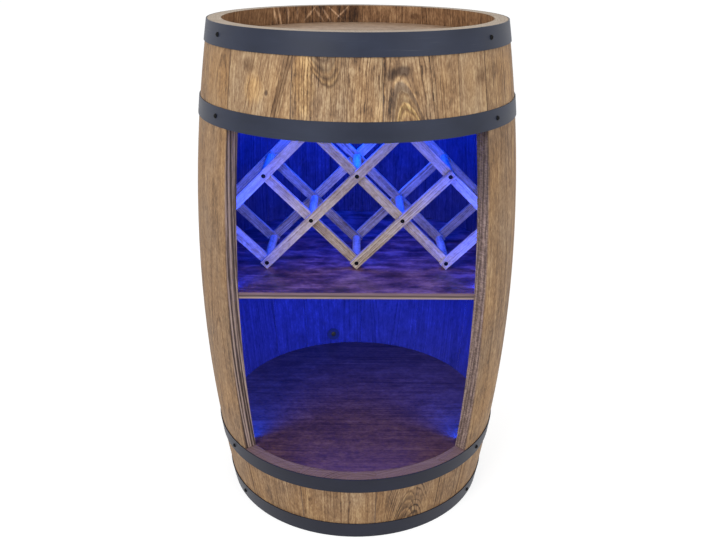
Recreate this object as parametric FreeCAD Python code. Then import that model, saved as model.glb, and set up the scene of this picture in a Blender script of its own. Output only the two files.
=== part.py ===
"""Barrel bar cabinet: a bowed stave barrel with an open front, a shelf, a bottle rack and LED strips.

Millimetres, +Z up, the open front faces -Y. The cabinet stands on z = 0 and the origin is under the
middle of its outline. The barrel is built about its own axis and moved there when it is written.
An azimuth is an angle in degrees about the barrel's axis, from the front, positive towards +X.
"""
import FreeCAD, Part
import math
import os

# ---- Barrel wall
barrel_height = 800.0
rim_radius = 225.5            # outside of the staves, at either end
belly_radius = 262.0          # outside of the staves, at half height
stave_thickness = 20.0
stave_seam = 0.2              # gap between neighbouring staves
seam_arris = 0.5              # eased long edge of a stave
jamb_arris = 1.2              # eased outer edge beside the opening
opening_half_angle = 48.0
front_stave_widths = [26.6, 29.4, 27.0, 13.0]   # in proportion, from left to right
side_stave_widths = [24.0, 23.0, 23.5, 29.5, 29.6, 28.9, 17.5, 23.5, 22.5, 20.0, 22.0]  # right to left
side_stave_names = ["jamb_stave_right", "side_stave_right_1", "side_stave_right_2", "side_stave_right_3",
                    "back_stave_right", "back_stave_middle", "back_stave_left", "side_stave_left_3",
                    "side_stave_left_2", "side_stave_left_1", "jamb_stave_left"]

# ---- Hoops
rim_hoop_width = 30.0         # of the two hoops that are flush with the rims
inner_hoop_width = 27.0       # of the two hoops beside the opening
hoop_thickness = 1.5
hoop_clearance = 0.3          # between a hoop and the staves
rim_to_upper_hoop = 110.0     # from the top rim to the near edge of the second hoop
rim_to_lower_hoop = 101.5     # from the bottom rim to the near edge of the second hoop
hoop_lap_length = 44.0
hoop_lap_azimuth = 180.0
hoop_rivet_spacing = 20.0
rivet_head_radius = 4.0
rivet_head_height = 1.3
rivet_shank_radius = 2.0
hoop_screw_azimuths = {"bottom_hoop": [-124.0, -57.0, 59.0, 124.0], "lower_hoop": [-124.0, -57.0, 57.0, 124.0],
                       "upper_hoop": [-124.0, -54.5, 53.5, 124.0], "top_hoop": [-124.0, -57.5, 52.5, 124.0]}
hoop_screw_head_radius = 3.4
hoop_screw_head_height = 2.4
hoop_screw_shank_radius = 1.8
hoop_screw_length = 16.0
hardware_clearance = 0.2      # between a screw or rivet and its hole

# ---- Heads
head_recess = 28.0            # from the rim to the head's face
head_thickness = 18.0
croze_depth = 5.0             # groove in the staves that holds a head
head_edge_thickness = 10.0    # of the head's thinned edge, in its groove
head_bevel = 4.0              # width of the slope from a head's face to its thinned edge
head_clearance = 0.3
head_board_names = ["front", "middle", "back"]
board_seam = 0.2
tongue_length = 6.0
tongue_thickness = 6.0
tongue_clearance = 0.2

# ---- Floor and shelf
floor_thickness = 18.0
shelf_top_height = 412.0
shelf_thickness = 10.0
panel_clearance = 0.3         # between a panel or cleat and the staves
cleat_length = 44.0
cleat_depth = 18.0
cleat_height = 24.0
cleat_screw_spacing = 24.0
cleat_screw_length = 30.0
shelf_cleat_staves = ["side_stave_right_2", "back_stave_middle", "side_stave_left_2"]
floor_cleat_staves = ["bottom_stave_2", "side_stave_right_1", "back_stave_right", "side_stave_left_2"]

# ---- Bottle rack: four rows of crossings between the shelf and the top of the opening
rack_side_clearance = 1.2     # between the outermost strip ends and the staves
rack_top_clearance = 12.0     # between the highest strip ends and the top of the opening
rack_row_steps = 3
rack_column_steps = 3         # half pitches from the middle to the outermost crossings
rack_strip_width = 15.0
rack_strip_thickness = 8.0
rack_depth = 133.0            # front face to back face
rack_bar_radius = 7.0
rack_screw_length = 26.0

# ---- Countersunk screws of the rack and the cleats
countersunk_head_radius = 3.4
countersunk_head_height = 2.6
countersunk_shank_radius = 1.7

# ---- LED strips
led_strip_width = 10.0
led_strip_thickness = 2.6
led_strip_gap = 0.5           # foam tape between a strip and the wood
led_strip_inset = 17.0        # from the jamb's inner corner to the middle of a side strip
led_chip_size = 5.0
led_chip_height = 1.2
led_chip_gap = 0.1
led_chip_pitch = 33.3
feed_lead_height = 6.0
feed_lead_thickness = 1.5
shelf_notch_clearance = 1.0

# ---- Control box and supply inlet
control_box_length = 56.0
control_box_depth = 22.0
control_box_height = 24.0
control_box_edge = 2.0
control_box_stave = "side_stave_left_1"
socket_radius = 2.8
socket_depth = 9.0
inlet_stave = "back_stave_middle"
inlet_height_over_floor = 18.0
inlet_bore_radius = 5.0
grommet_sleeve_radius = 7.7
grommet_flange_radius = 12.0
grommet_flange_thickness = 2.0
grommet_clearance = 0.3

# ---- How far a cutter runs past what it cuts
overcut = 1.0

# ---- Worked out from the sizes above
mid_height = barrel_height / 2
bow = belly_radius - rim_radius
bow_radius = (bow ** 2 + mid_height ** 2) / (2 * bow)
bow_centre = belly_radius - bow_radius
inner_offset = -stave_thickness
opening_bottom = rim_to_lower_hoop + inner_hoop_width
opening_top = barrel_height - rim_to_upper_hoop - inner_hoop_width
hoop_edges = {"bottom_hoop": (0.0, rim_hoop_width), "lower_hoop": (rim_to_lower_hoop, opening_bottom),
              "upper_hoop": (opening_top, barrel_height - rim_to_upper_hoop),
              "top_hoop": (barrel_height - rim_hoop_width, barrel_height)}   # low and high edge of each hoop
floor_top_height = opening_bottom
rack_end_reach = rack_strip_width / math.sqrt(2)    # from a crossing to the corner of a square strip end
rack_row_pitch = (opening_top - rack_top_clearance - shelf_top_height - 2 * rack_end_reach) / rack_row_steps
rack_rows = [shelf_top_height + rack_end_reach + row * rack_row_pitch for row in range(rack_row_steps + 1)]
led_strip_bottom = floor_top_height + led_strip_gap + feed_lead_height
led_strip_top = opening_top + led_strip_width / 2

UP = FreeCAD.Vector(0, 0, 1)
ORIGIN = FreeCAD.Vector(0, 0, 0)


# ---- Places on the bowed wall
def wall_radius(height, offset=0.0):
    """Distance from the axis to the wall's outer face, or to a surface that lies offset outside it."""
    return bow_centre + math.sqrt((bow_radius + offset) ** 2 - (height - mid_height) ** 2)


def radial(azimuth):
    """Unit vector from the axis towards an azimuth."""
    angle = math.radians(azimuth)
    return FreeCAD.Vector(math.sin(angle), -math.cos(angle), 0)


def wall_normal(azimuth, height):
    """Unit normal of the bowed wall, outwards."""
    tilt = math.asin((height - mid_height) / bow_radius)
    return radial(azimuth) * math.cos(tilt) + UP * math.sin(tilt)


def wall_point(azimuth, height, offset=0.0):
    """Point that lies offset outside the wall's outer face, measured along the wall's normal."""
    return (radial(azimuth) * wall_radius(height) + UP * height) + wall_normal(azimuth, height) * offset


def turn(length, radius):
    """Angle in degrees that a length covers on a circle."""
    return math.degrees(length / radius)


def place(shape, point, direction):
    """Put a shape that was made about the origin along +Z at a point, along a direction."""
    shape = shape.copy()
    shape.Placement = FreeCAD.Placement(point, FreeCAD.Rotation(UP, direction))
    return shape


def half_width(height, y):
    """Half the width between the staves' inner faces, at a height and a distance from the axis along Y."""
    return math.sqrt(wall_radius(height, inner_offset) ** 2 - y ** 2)


# ---- Solids that follow the bowed wall
def bow_arc(low, high, offset):
    """The wall's bowed outline between two heights, at azimuth 0, as an arc that lies offset outside it."""
    points = [FreeCAD.Vector(0, -wall_radius(height, offset), height)
              for height in (low, (low + high) / 2, high)]
    return Part.Arc(*points).toShape()


def wall_sector(start, end, low, high, inner, outer):
    """Solid between two azimuths, two heights and two offsets from the wall's outer face."""
    inner_arc = bow_arc(low, high, inner)
    outer_arc = bow_arc(low, high, outer)
    base = Part.makeLine(inner_arc.Vertexes[0].Point, outer_arc.Vertexes[0].Point)
    lid = Part.makeLine(inner_arc.Vertexes[-1].Point, outer_arc.Vertexes[-1].Point)
    face = Part.Face(Part.Wire([base, outer_arc, lid, inner_arc]))
    face.rotate(ORIGIN, UP, start)
    return face.revolve(ORIGIN, UP, end - start)


def cavity(low, high, clearance):
    """Everything inside the staves between two heights, kept clear of them."""
    arc = bow_arc(low, high, inner_offset - clearance)
    bottom, top = arc.Vertexes[0].Point, arc.Vertexes[-1].Point
    axis_bottom, axis_top = FreeCAD.Vector(0, 0, low), FreeCAD.Vector(0, 0, high)
    outline = [Part.makeLine(axis_bottom, bottom), arc, Part.makeLine(top, axis_top),
               Part.makeLine(axis_top, axis_bottom)]
    return Part.Face(Part.Wire(outline)).revolve(ORIGIN, UP, 360)


def block(azimuth, radius, depth, length, bottom, height):
    """Box that faces the axis: from a radius outwards by its depth, centred on an azimuth."""
    box = Part.makeBox(length, depth, height, FreeCAD.Vector(-length / 2, -radius - depth, bottom))
    box.rotate(ORIGIN, UP, azimuth)
    return box


# ---- Screws and rivets, made along +Z with the head's seat at the origin
def domed_pin(head_radius, head_height, shank_radius, shank_length):
    """Rivet or pan head screw: a low dome on a shank."""
    shoulder = FreeCAD.Vector(head_radius * 0.7, 0, head_height * 0.75)
    crown = Part.Arc(FreeCAD.Vector(0, 0, head_height), shoulder, FreeCAD.Vector(head_radius, 0, 0)).toShape()
    underside = Part.makePolygon([FreeCAD.Vector(head_radius, 0, 0), FreeCAD.Vector(shank_radius, 0, 0),
                                  FreeCAD.Vector(shank_radius, 0, -shank_length),
                                  FreeCAD.Vector(0, 0, -shank_length), FreeCAD.Vector(0, 0, head_height)])
    return Part.Face(Part.Wire([crown] + underside.Edges)).revolve(ORIGIN, UP, 360)


def countersunk_screw(length, grow=0.0):
    """Flat head wood screw; grow makes its hole."""
    head = Part.makeCone(countersunk_shank_radius + grow, countersunk_head_radius + grow,
                         countersunk_head_height, FreeCAD.Vector(0, 0, -countersunk_head_height))
    shank = Part.makeCylinder(countersunk_shank_radius + grow, length - countersunk_head_height + grow,
                              FreeCAD.Vector(0, 0, -length - grow))
    return head.fuse(shank).removeSplitter()


# ---- Where the staves meet
def seams(start, end, widths):
    """Azimuths of the seams that split a turn in proportion to the widths, with both ends."""
    marks = [start]
    for width in widths:
        marks.append(marks[-1] + (end - start) * width / sum(widths))
    return marks


def stave_layout():
    """Name, start azimuth, end azimuth, low end and high end of every stave."""
    rows = []
    front = seams(-opening_half_angle, opening_half_angle, front_stave_widths)
    for number, (start, end) in enumerate(zip(front, front[1:]), 1):
        rows.append((f"bottom_stave_{number}", start, end, 0.0, opening_bottom))
        rows.append((f"top_stave_{number}", start, end, opening_top, barrel_height))
    side = seams(opening_half_angle, 360 - opening_half_angle, side_stave_widths)
    for name, start, end in zip(side_stave_names, side, side[1:]):
        rows.append((name, start, end, 0.0, barrel_height))
    return rows


LAYOUT = stave_layout()
MIDDLE = {name: (start + end) / 2 for name, start, end, low, high in LAYOUT}
JAMBS = (opening_half_angle, 360 - opening_half_angle)


# ---- Hardware, each as (azimuth, height, shape, hole)
def hoop_screws():
    """Screws that fix the hoops to the staves."""
    rows = []
    pin = domed_pin(hoop_screw_head_radius, hoop_screw_head_height,
                    hoop_screw_shank_radius, hoop_screw_length)
    hole = Part.makeCylinder(hoop_screw_shank_radius + hardware_clearance,
                             hoop_screw_length + 2 * hardware_clearance + hoop_thickness,
                             FreeCAD.Vector(0, 0, -hoop_screw_length - hardware_clearance))
    for name, edges in hoop_edges.items():
        height = sum(edges) / 2
        for azimuth in hoop_screw_azimuths[name]:
            seat = wall_point(azimuth, height, hoop_clearance + hoop_thickness)
            normal = wall_normal(azimuth, height)
            rows.append((azimuth, height, place(pin, seat, normal), place(hole, seat, normal)))
    return rows


def hoop_rivets():
    """Pairs of rivets through the overlapping ends of each hoop."""
    rows = []
    grip = 2 * hoop_thickness
    pin = domed_pin(rivet_head_radius, rivet_head_height, rivet_shank_radius, grip)
    hole = Part.makeCylinder(rivet_shank_radius + hardware_clearance, 2 * grip,
                             FreeCAD.Vector(0, 0, -1.5 * grip))
    for edges in hoop_edges.values():
        height = sum(edges) / 2
        for side in (-0.5, 0.5):
            azimuth = hoop_lap_azimuth + turn(side * hoop_rivet_spacing, wall_radius(height))
            seat = wall_point(azimuth, height, hoop_clearance + grip)
            normal = wall_normal(azimuth, height)
            rows.append((azimuth, height, place(pin, seat, normal), place(hole, seat, normal)))
    return rows


def cleat_places():
    """Azimuth, bottom height and the radius of the inner face of every cleat, for the shelf and the floor."""
    places = []
    for stave_names, top in ((shelf_cleat_staves, shelf_top_height - shelf_thickness),
                             (floor_cleat_staves, floor_top_height - floor_thickness)):
        bottom = top - cleat_height
        face_radius = wall_radius(bottom, inner_offset) - cleat_depth
        places += [(MIDDLE[name], bottom, face_radius) for name in stave_names]
    return places


def cleat_screws():
    """Two screws through each cleat into its stave."""
    rows = []
    screw = countersunk_screw(cleat_screw_length)
    hole = countersunk_screw(cleat_screw_length, hardware_clearance)
    for azimuth, bottom, face_radius in cleat_places():
        height = bottom + cleat_height / 2
        outwards = radial(azimuth)
        sideways = UP.cross(outwards)
        for side in (-0.5, 0.5):
            seat = outwards * face_radius + sideways * (side * cleat_screw_spacing) + UP * height
            rows.append((azimuth, height, place(screw, seat, -outwards), place(hole, seat, -outwards)))
    return rows


# ---- Supply inlet
def inlet_place():
    """Azimuth and height of the inlet."""
    return MIDDLE[inlet_stave], floor_top_height + inlet_height_over_floor


def inlet_bore():
    """Hole through the stave for the grommet."""
    azimuth, height = inlet_place()
    bore = Part.makeCylinder(grommet_sleeve_radius + grommet_clearance, 3 * stave_thickness,
                             FreeCAD.Vector(0, 0, -2 * stave_thickness))
    return azimuth, height, place(bore, wall_point(azimuth, height), wall_normal(azimuth, height))


def grommet_inner_seat():
    """Depth below the stave's outer face at which the inner flange clears the hollow inner face."""
    height = inlet_place()[1]
    hollow = grommet_flange_radius ** 2 / (2 * wall_radius(height, inner_offset))
    return stave_thickness + hollow + grommet_clearance


def grommet():
    """Rubber ring with a flange on each face of the stave."""
    azimuth, height = inlet_place()
    inner_seat = grommet_inner_seat()
    inner_end = inner_seat + grommet_flange_thickness
    sleeve = Part.makeCylinder(grommet_sleeve_radius, inner_end, FreeCAD.Vector(0, 0, -inner_end))
    outer_flange = Part.makeCylinder(grommet_flange_radius, grommet_flange_thickness)
    inner_flange = Part.makeCylinder(grommet_flange_radius, grommet_flange_thickness,
                                     FreeCAD.Vector(0, 0, -inner_end))
    bore = Part.makeCylinder(inlet_bore_radius, 2 * stave_thickness + inner_end,
                             FreeCAD.Vector(0, 0, -stave_thickness - inner_end))
    ring = sleeve.fuse([outer_flange, inner_flange]).removeSplitter().cut(bore)
    return place(ring, wall_point(azimuth, height), wall_normal(azimuth, height))


# ---- Barrel wall
def head_heights():
    """Bottom heights of the two heads."""
    return {"bottom": head_recess, "top": barrel_height - head_recess - head_thickness}


def head_radius():
    """Radius of a head, out to the bottom of its groove."""
    height = barrel_height - head_recess - head_thickness / 2
    return wall_radius(height, inner_offset) + croze_depth - head_clearance


def eased(solid, start, end):
    """Ease the long outer edges of a stave, more beside the opening than at a seam."""
    for azimuth in (start, end):
        size = jamb_arris if azimuth in JAMBS else seam_arris
        edges = [edge for edge in solid.Edges if is_outer_long_edge(edge, azimuth)]
        solid = solid.makeChamfer(size, edges)
    return solid


def is_outer_long_edge(edge, azimuth):
    """True for the bowed edge at an azimuth on the wall's outer face."""
    middle = edge.valueAt((edge.FirstParameter + edge.LastParameter) / 2)
    along = middle.dot(radial(azimuth))
    across = abs(middle.cross(radial(azimuth)).dot(UP))
    return across < 2 * stave_seam and abs(along - wall_radius(middle.z)) < 0.05


def stave(start, end, low, high, holes):
    """One stave with its eased edges, head grooves and screw holes."""
    half_seam = turn(stave_seam / 2, belly_radius)
    solid = wall_sector(start + half_seam, end - half_seam, low, high, inner_offset, 0.0)
    solid = eased(solid, start, end)
    groove_radius = head_radius() + head_clearance
    groove_height = head_edge_thickness + head_clearance
    for bottom in head_heights().values():
        if low < bottom < high:
            groove_bottom = bottom + (head_thickness - groove_height) / 2
            solid = solid.cut(Part.makeCylinder(groove_radius, groove_height,
                                                FreeCAD.Vector(0, 0, groove_bottom)))
    own = [hole for azimuth, height, hole in holes
           if low < height < high and any(start < azimuth + whole < end for whole in (-360, 0, 360))]
    return solid.cut(own) if own else solid


def staves():
    """All staves by name."""
    holes = [(azimuth, height, hole) for azimuth, height, shape, hole in hoop_screws() + cleat_screws()]
    holes.append(inlet_bore())
    return {name: stave(start, end, low, high, holes) for name, start, end, low, high in LAYOUT}


# ---- Hoops
def hoop(low, high):
    """Steel band with lapped ends, drilled for its screws and rivets."""
    middle = (low + high) / 2
    lap = turn(hoop_lap_length / 2, wall_radius(middle))
    inner, outer = hoop_clearance, hoop_clearance + hoop_thickness
    band = wall_sector(0, 360, low, high, inner, outer)
    band = band.fuse(wall_sector(hoop_lap_azimuth - lap, hoop_lap_azimuth + lap, low, high,
                                 outer - hoop_thickness / 2, outer + hoop_thickness)).removeSplitter()
    holes = [hole for azimuth, height, shape, hole in hoop_screws() + hoop_rivets() if height == middle]
    return band.cut(holes)


# ---- Heads
def head_disc(bottom):
    """Round head whose edge is bevelled on both faces down to the part that sits in the groove."""
    step = (head_thickness - head_edge_thickness) / 2
    groove_mouth = wall_radius(barrel_height - head_recess - step, inner_offset) - head_clearance
    half = [FreeCAD.Vector(0, 0, 0), FreeCAD.Vector(groove_mouth - head_bevel, 0, 0),
            FreeCAD.Vector(groove_mouth, 0, step), FreeCAD.Vector(head_radius(), 0, step)]
    mirrored = [FreeCAD.Vector(point.x, 0, head_thickness - point.z) for point in reversed(half)]
    disc = Part.Face(Part.makePolygon(half + mirrored + [half[0]])).revolve(ORIGIN, UP, 360)
    disc.translate(UP * bottom)
    return disc


def head_boards(bottom):
    """Three boards across a head, joined by a tongue in a groove."""
    radius = head_radius()
    disc = head_disc(bottom)
    width = 2 * radius / len(head_board_names)
    middle = bottom + head_thickness / 2
    boards = {}
    for number, name in enumerate(head_board_names):
        low = -radius + number * width + board_seam / 2
        high = low + width - board_seam
        board = disc.common(slab(low, high, bottom, head_thickness, radius))
        if number < len(head_board_names) - 1:
            tongue = slab(high - tongue_length, high + tongue_length, middle - tongue_thickness / 2,
                          tongue_thickness, radius)
            board = board.fuse(disc.common(tongue)).removeSplitter()
        if number > 0:
            groove_height = tongue_thickness + 2 * tongue_clearance
            board = board.cut(slab(low - overcut, low + tongue_length, middle - groove_height / 2,
                                   groove_height, radius))
        boards[name] = board
    return boards


def slab(low, high, bottom, thickness, half_length):
    """Box across the barrel between two places along Y."""
    return Part.makeBox(2 * half_length, high - low, thickness, FreeCAD.Vector(-half_length, low, bottom))


# ---- Floor, shelf and cleats
def floor_board():
    """Round floor of the lower compartment, level with the cut stave ends."""
    return cavity(floor_top_height - floor_thickness, floor_top_height, panel_clearance)


def shelf_front():
    """Y of the shelf's straight front edge, between the jambs' inner corners."""
    return -wall_radius(shelf_top_height, inner_offset) * math.cos(math.radians(opening_half_angle))


def middle_shelf():
    """Shelf with a straight front edge and a notch for each side LED strip."""
    bottom = shelf_top_height - shelf_thickness
    shelf = cavity(bottom, shelf_top_height, panel_clearance)
    front = slab(-2 * belly_radius, shelf_front(), bottom - overcut, shelf_thickness + 2 * overcut,
                 belly_radius)
    depth = inner_offset - led_strip_gap - led_strip_thickness - shelf_notch_clearance
    reach = led_strip_turn() / 2 + turn(shelf_notch_clearance, belly_radius)
    notches = [wall_sector(azimuth - reach, azimuth + reach, bottom - overcut, shelf_top_height + overcut,
                           depth, 0.0) for azimuth in led_strip_azimuths()]
    return shelf.cut([front] + notches)


def cleats():
    """Blocks on the staves that carry the shelf and the floor."""
    holes = [hole for azimuth, height, shape, hole in cleat_screws()]
    solids = []
    for azimuth, bottom, face_radius in cleat_places():
        room = cavity(bottom, bottom + cleat_height, panel_clearance)
        cleat = block(azimuth, face_radius, 2 * cleat_depth, cleat_length, bottom, cleat_height).common(room)
        solids.append(cleat.cut(holes))
    return solids


# ---- Bottle rack
def rack_lines():
    """Both ends of each rising strip, as a column of half pitches and a row; falling strips mirror them."""
    edge, top = rack_column_steps, rack_row_steps
    return {"outer": ((-edge, 1), (-1, top)), "long": ((1 - edge, 0), (1, top)),
            "middle": ((0, 0), (edge - 1, 2)), "corner": ((edge - 1, 0), (edge, 1))}


def rack_crossings():
    """Column and row of every crossing of a rising and a falling strip."""
    marks = set()
    for (start, base), (end, top) in rack_lines().values():
        for step in range(top - base + 1):
            marks.add((start + step, base + step))
            marks.add((-start - step, base + step))
    return sorted(marks, key=lambda mark: (mark[1], mark[0]))


def rack_column_pitch():
    """Half the distance between crossings of one row; the outermost crossings lie in the second row."""
    reach = half_width(rack_rows[1], rack_depth / 2) - rack_side_clearance - rack_end_reach
    return reach / rack_column_steps


def crossing_point(column, row, y):
    """Point on the rack's grid."""
    return FreeCAD.Vector(column * rack_column_pitch(), y, rack_rows[row])


def rack_screws():
    """Screws from both faces of the rack into the bars, as (screw, hole)."""
    pairs = []
    for column, row in rack_crossings():
        for y, outwards in ((-rack_depth / 2, -1), (rack_depth / 2, 1)):
            seat = crossing_point(column, row, y)
            direction = FreeCAD.Vector(0, outwards, 0)
            pairs.append((place(countersunk_screw(rack_screw_length), seat, direction),
                          place(countersunk_screw(rack_screw_length, hardware_clearance), seat, direction)))
    return pairs


def rack_strip(start, end, y, holes):
    """Diagonal strip between two crossings, square cut half its width past them."""
    run = end - start
    over = rack_strip_width / 2
    strip = Part.makeBox(rack_strip_width, rack_strip_thickness, run.Length + 2 * over,
                         FreeCAD.Vector(-rack_strip_width / 2, 0, -over))
    lean = math.degrees(math.atan2(run.x, run.z))
    strip.rotate(ORIGIN, FreeCAD.Vector(0, 1, 0), lean)
    strip.translate(FreeCAD.Vector(start.x, y, start.z))
    return strip.cut(holes)


def rack_strips():
    """All strips by name: rising strips are on the outside of each lattice, falling strips behind them."""
    holes = [hole for screw, hole in rack_screws()]
    half = rack_depth / 2
    layers = {("front", "rising"): -half, ("front", "falling"): -half + rack_strip_thickness,
              ("back", "falling"): half - 2 * rack_strip_thickness,
              ("back", "rising"): half - rack_strip_thickness}
    strips = {}
    for (lattice, way), y in layers.items():
        hand = 1 if way == "rising" else -1
        for name, ((start, base), (end, top)) in rack_lines().items():
            first = crossing_point(hand * start, base, y)
            last = crossing_point(hand * end, top, y)
            strips[f"rack_{lattice}_{way}_{name}"] = rack_strip(first, last, y, holes)
    return strips


def rack_bars():
    """Round bars that join the two lattices at every crossing."""
    length = rack_depth - 4 * rack_strip_thickness
    holes = [hole for screw, hole in rack_screws()]
    bar = Part.makeCylinder(rack_bar_radius, length, ORIGIN, FreeCAD.Vector(0, 1, 0))
    bars = []
    for column, row in rack_crossings():
        solid = bar.copy()
        solid.translate(crossing_point(column, row, -length / 2))
        bars.append(solid.cut(holes))
    return bars


# ---- LED strips
def led_strip_turn():
    """Angle that a side strip's width covers."""
    return turn(led_strip_width, wall_radius(mid_height, inner_offset))


def led_strip_azimuths():
    """Azimuths of the middles of the left and right strips."""
    azimuth = opening_half_angle + turn(led_strip_inset, wall_radius(mid_height, inner_offset))
    return [-azimuth, azimuth]


def led_layer():
    """Inner and outer offset of the strips from the wall's outer face."""
    outer = inner_offset - led_strip_gap
    return outer - led_strip_thickness, outer


def side_led_strip(azimuth):
    """Upright strip behind a jamb."""
    inner, outer = led_layer()
    half = led_strip_turn() / 2
    return wall_sector(azimuth - half, azimuth + half, led_strip_bottom, led_strip_top, inner, outer)


def top_led_strip():
    """Level strip over the opening, from one side strip to the other."""
    inner, outer = led_layer()
    reach = led_strip_azimuths()[1] + led_strip_turn() / 2
    return wall_sector(-reach, reach, led_strip_top, led_strip_top + led_strip_width, inner, outer)


def led_chip(azimuth, height):
    """One LED on the inner face of a strip."""
    outer = led_layer()[0] - led_chip_gap
    half = led_chip_size / 2
    half_turn = turn(half, wall_radius(height, inner_offset))
    return wall_sector(azimuth - half_turn, azimuth + half_turn, height - half, height + half,
                       outer - led_chip_height, outer)


def led_chips():
    """The LEDs of all three strips; none lies in the shelf's notches."""
    chips = []
    count = int((led_strip_top - led_strip_bottom) // led_chip_pitch)
    first = (led_strip_bottom + led_strip_top - (count - 1) * led_chip_pitch) / 2
    for azimuth in led_strip_azimuths():
        for number in range(count):
            height = first + number * led_chip_pitch
            if abs(height - shelf_top_height + shelf_thickness / 2) > shelf_thickness / 2 + led_chip_size:
                chips.append(led_chip(azimuth, height))
    height = led_strip_top + led_strip_width / 2
    step = turn(led_chip_pitch, wall_radius(height, inner_offset))
    reach = int(led_strip_azimuths()[1] // step)
    chips += [led_chip(number * step, height) for number in range(-reach, reach + 1)]
    return chips


# ---- Control box and its lead
def control_box_radius():
    """Distance from the axis to the box's back, with its lower back corners clear of the wall."""
    return math.sqrt((wall_radius(floor_top_height, inner_offset) - panel_clearance) ** 2
                     - (control_box_length / 2) ** 2)


def control_box():
    """Closed plastic box on the floor, with a round socket in the end that faces the inlet."""
    azimuth = MIDDLE[control_box_stave]
    box = block(azimuth, control_box_radius() - control_box_depth, control_box_depth, control_box_length,
                floor_top_height, control_box_height)
    box = box.makeFillet(control_box_edge, box.Edges)
    sideways = UP.cross(radial(azimuth))
    middle = radial(azimuth) * (control_box_radius() - control_box_depth / 2)
    end = middle - sideways * (control_box_length / 2) + UP * (floor_top_height + control_box_height / 2)
    return box.cut(place(Part.makeCylinder(socket_radius, socket_depth), end, sideways))


def feed_lead():
    """Flat lead along the wall and floor, from the control box to the foot of the left strip."""
    outer = inner_offset - led_strip_gap
    start = MIDDLE[control_box_stave] + math.degrees(
        math.atan((control_box_length / 2 + led_strip_gap) / control_box_radius()))
    end = 360 + led_strip_azimuths()[0] + led_strip_turn() / 2
    bottom = floor_top_height + led_strip_gap
    return wall_sector(start, end, bottom, bottom + feed_lead_height, outer - feed_lead_thickness, outer)


# ---- The whole cabinet
def cabinet():
    """Every node: a name and its solids."""
    nodes = {name: [solid] for name, solid in staves().items()}
    nodes.update({name: [hoop(low, high)] for name, (low, high) in hoop_edges.items()})
    nodes["hoop_screws"] = [shape for azimuth, height, shape, hole in hoop_screws()]
    nodes["hoop_rivets"] = [shape for azimuth, height, shape, hole in hoop_rivets()]
    for end, bottom in head_heights().items():
        for name, board in head_boards(bottom).items():
            nodes[f"{end}_head_{name}_board"] = [board]
    nodes["floor_board"] = [floor_board()]
    nodes["middle_shelf"] = [middle_shelf()]
    nodes["panel_cleats"] = cleats()
    nodes["cleat_screws"] = [shape for azimuth, height, shape, hole in cleat_screws()]
    nodes.update({name: [strip] for name, strip in rack_strips().items()})
    nodes["rack_bars"] = rack_bars()
    nodes["rack_screws"] = [screw for screw, hole in rack_screws()]
    nodes["led_strip_left"], nodes["led_strip_right"] = [[side_led_strip(a)] for a in led_strip_azimuths()]
    nodes["led_strip_top"] = [top_led_strip()]
    nodes["led_chips"] = led_chips()
    nodes["led_feed_lead"] = [feed_lead()]
    nodes["led_control_box"] = [control_box()]
    nodes["supply_grommet"] = [grommet()]
    return nodes


def centring_shift():
    """Move along Y that brings the middle of the outline over the origin: the front reaches out to the
    farther edge of the opening, and the back to the belly."""
    front_reach = max(wall_radius(height, hoop_clearance + hoop_thickness)
                      for height in (opening_bottom, opening_top))
    return FreeCAD.Vector(0, (front_reach - belly_radius) / 2, 0)


def write_steps():
    """Write one STEP file per node."""
    os.makedirs("parts", exist_ok=True)
    shift = centring_shift()
    for name, solids in cabinet().items():
        shape = solids[0] if len(solids) == 1 else Part.makeCompound(solids)
        if len(shape.Solids) != len(solids) or not shape.isValid():
            raise ValueError(f"{name}: {len(shape.Solids)} solids, valid {shape.isValid()}")
        shape = shape.copy()
        shape.translate(shift)
        shape.exportStep(f"parts/{name}.step")
        print(f"{name}: {len(shape.Solids)} solids, {shape.Volume / 1000:.1f} cm3")
    azimuth, height = inlet_place()
    inner_end = grommet_inner_seat() + grommet_flange_thickness
    middle = wall_point(azimuth, height, (grommet_flange_thickness - inner_end) / 2) + shift
    print("inlet bore middle", middle, "axis", wall_normal(azimuth, height),
          "length", inner_end + grommet_flange_thickness)
    print("shift", shift, "shelf front", shelf_front() + shift.y)


write_steps()
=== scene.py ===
# %% [markdown]
# # Barrel bar cabinet: finishes, fastenings, light and camera
# The real cabinet is a small oak-style barrel stood on end. Its wall is a ring of bowed staves, four
# painted steel hoops hold them, and a square opening in the front shows a bottle rack, a shelf and a floor,
# lit blue by LED strips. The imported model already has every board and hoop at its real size, so this script
# adds what a drawing leaves out: the grain of each board, the satin paint, properly shaped screws, the
# light and the view.

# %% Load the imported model
import math
import random

import bmesh
import bpy
from mathutils import Matrix, Vector


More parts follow.
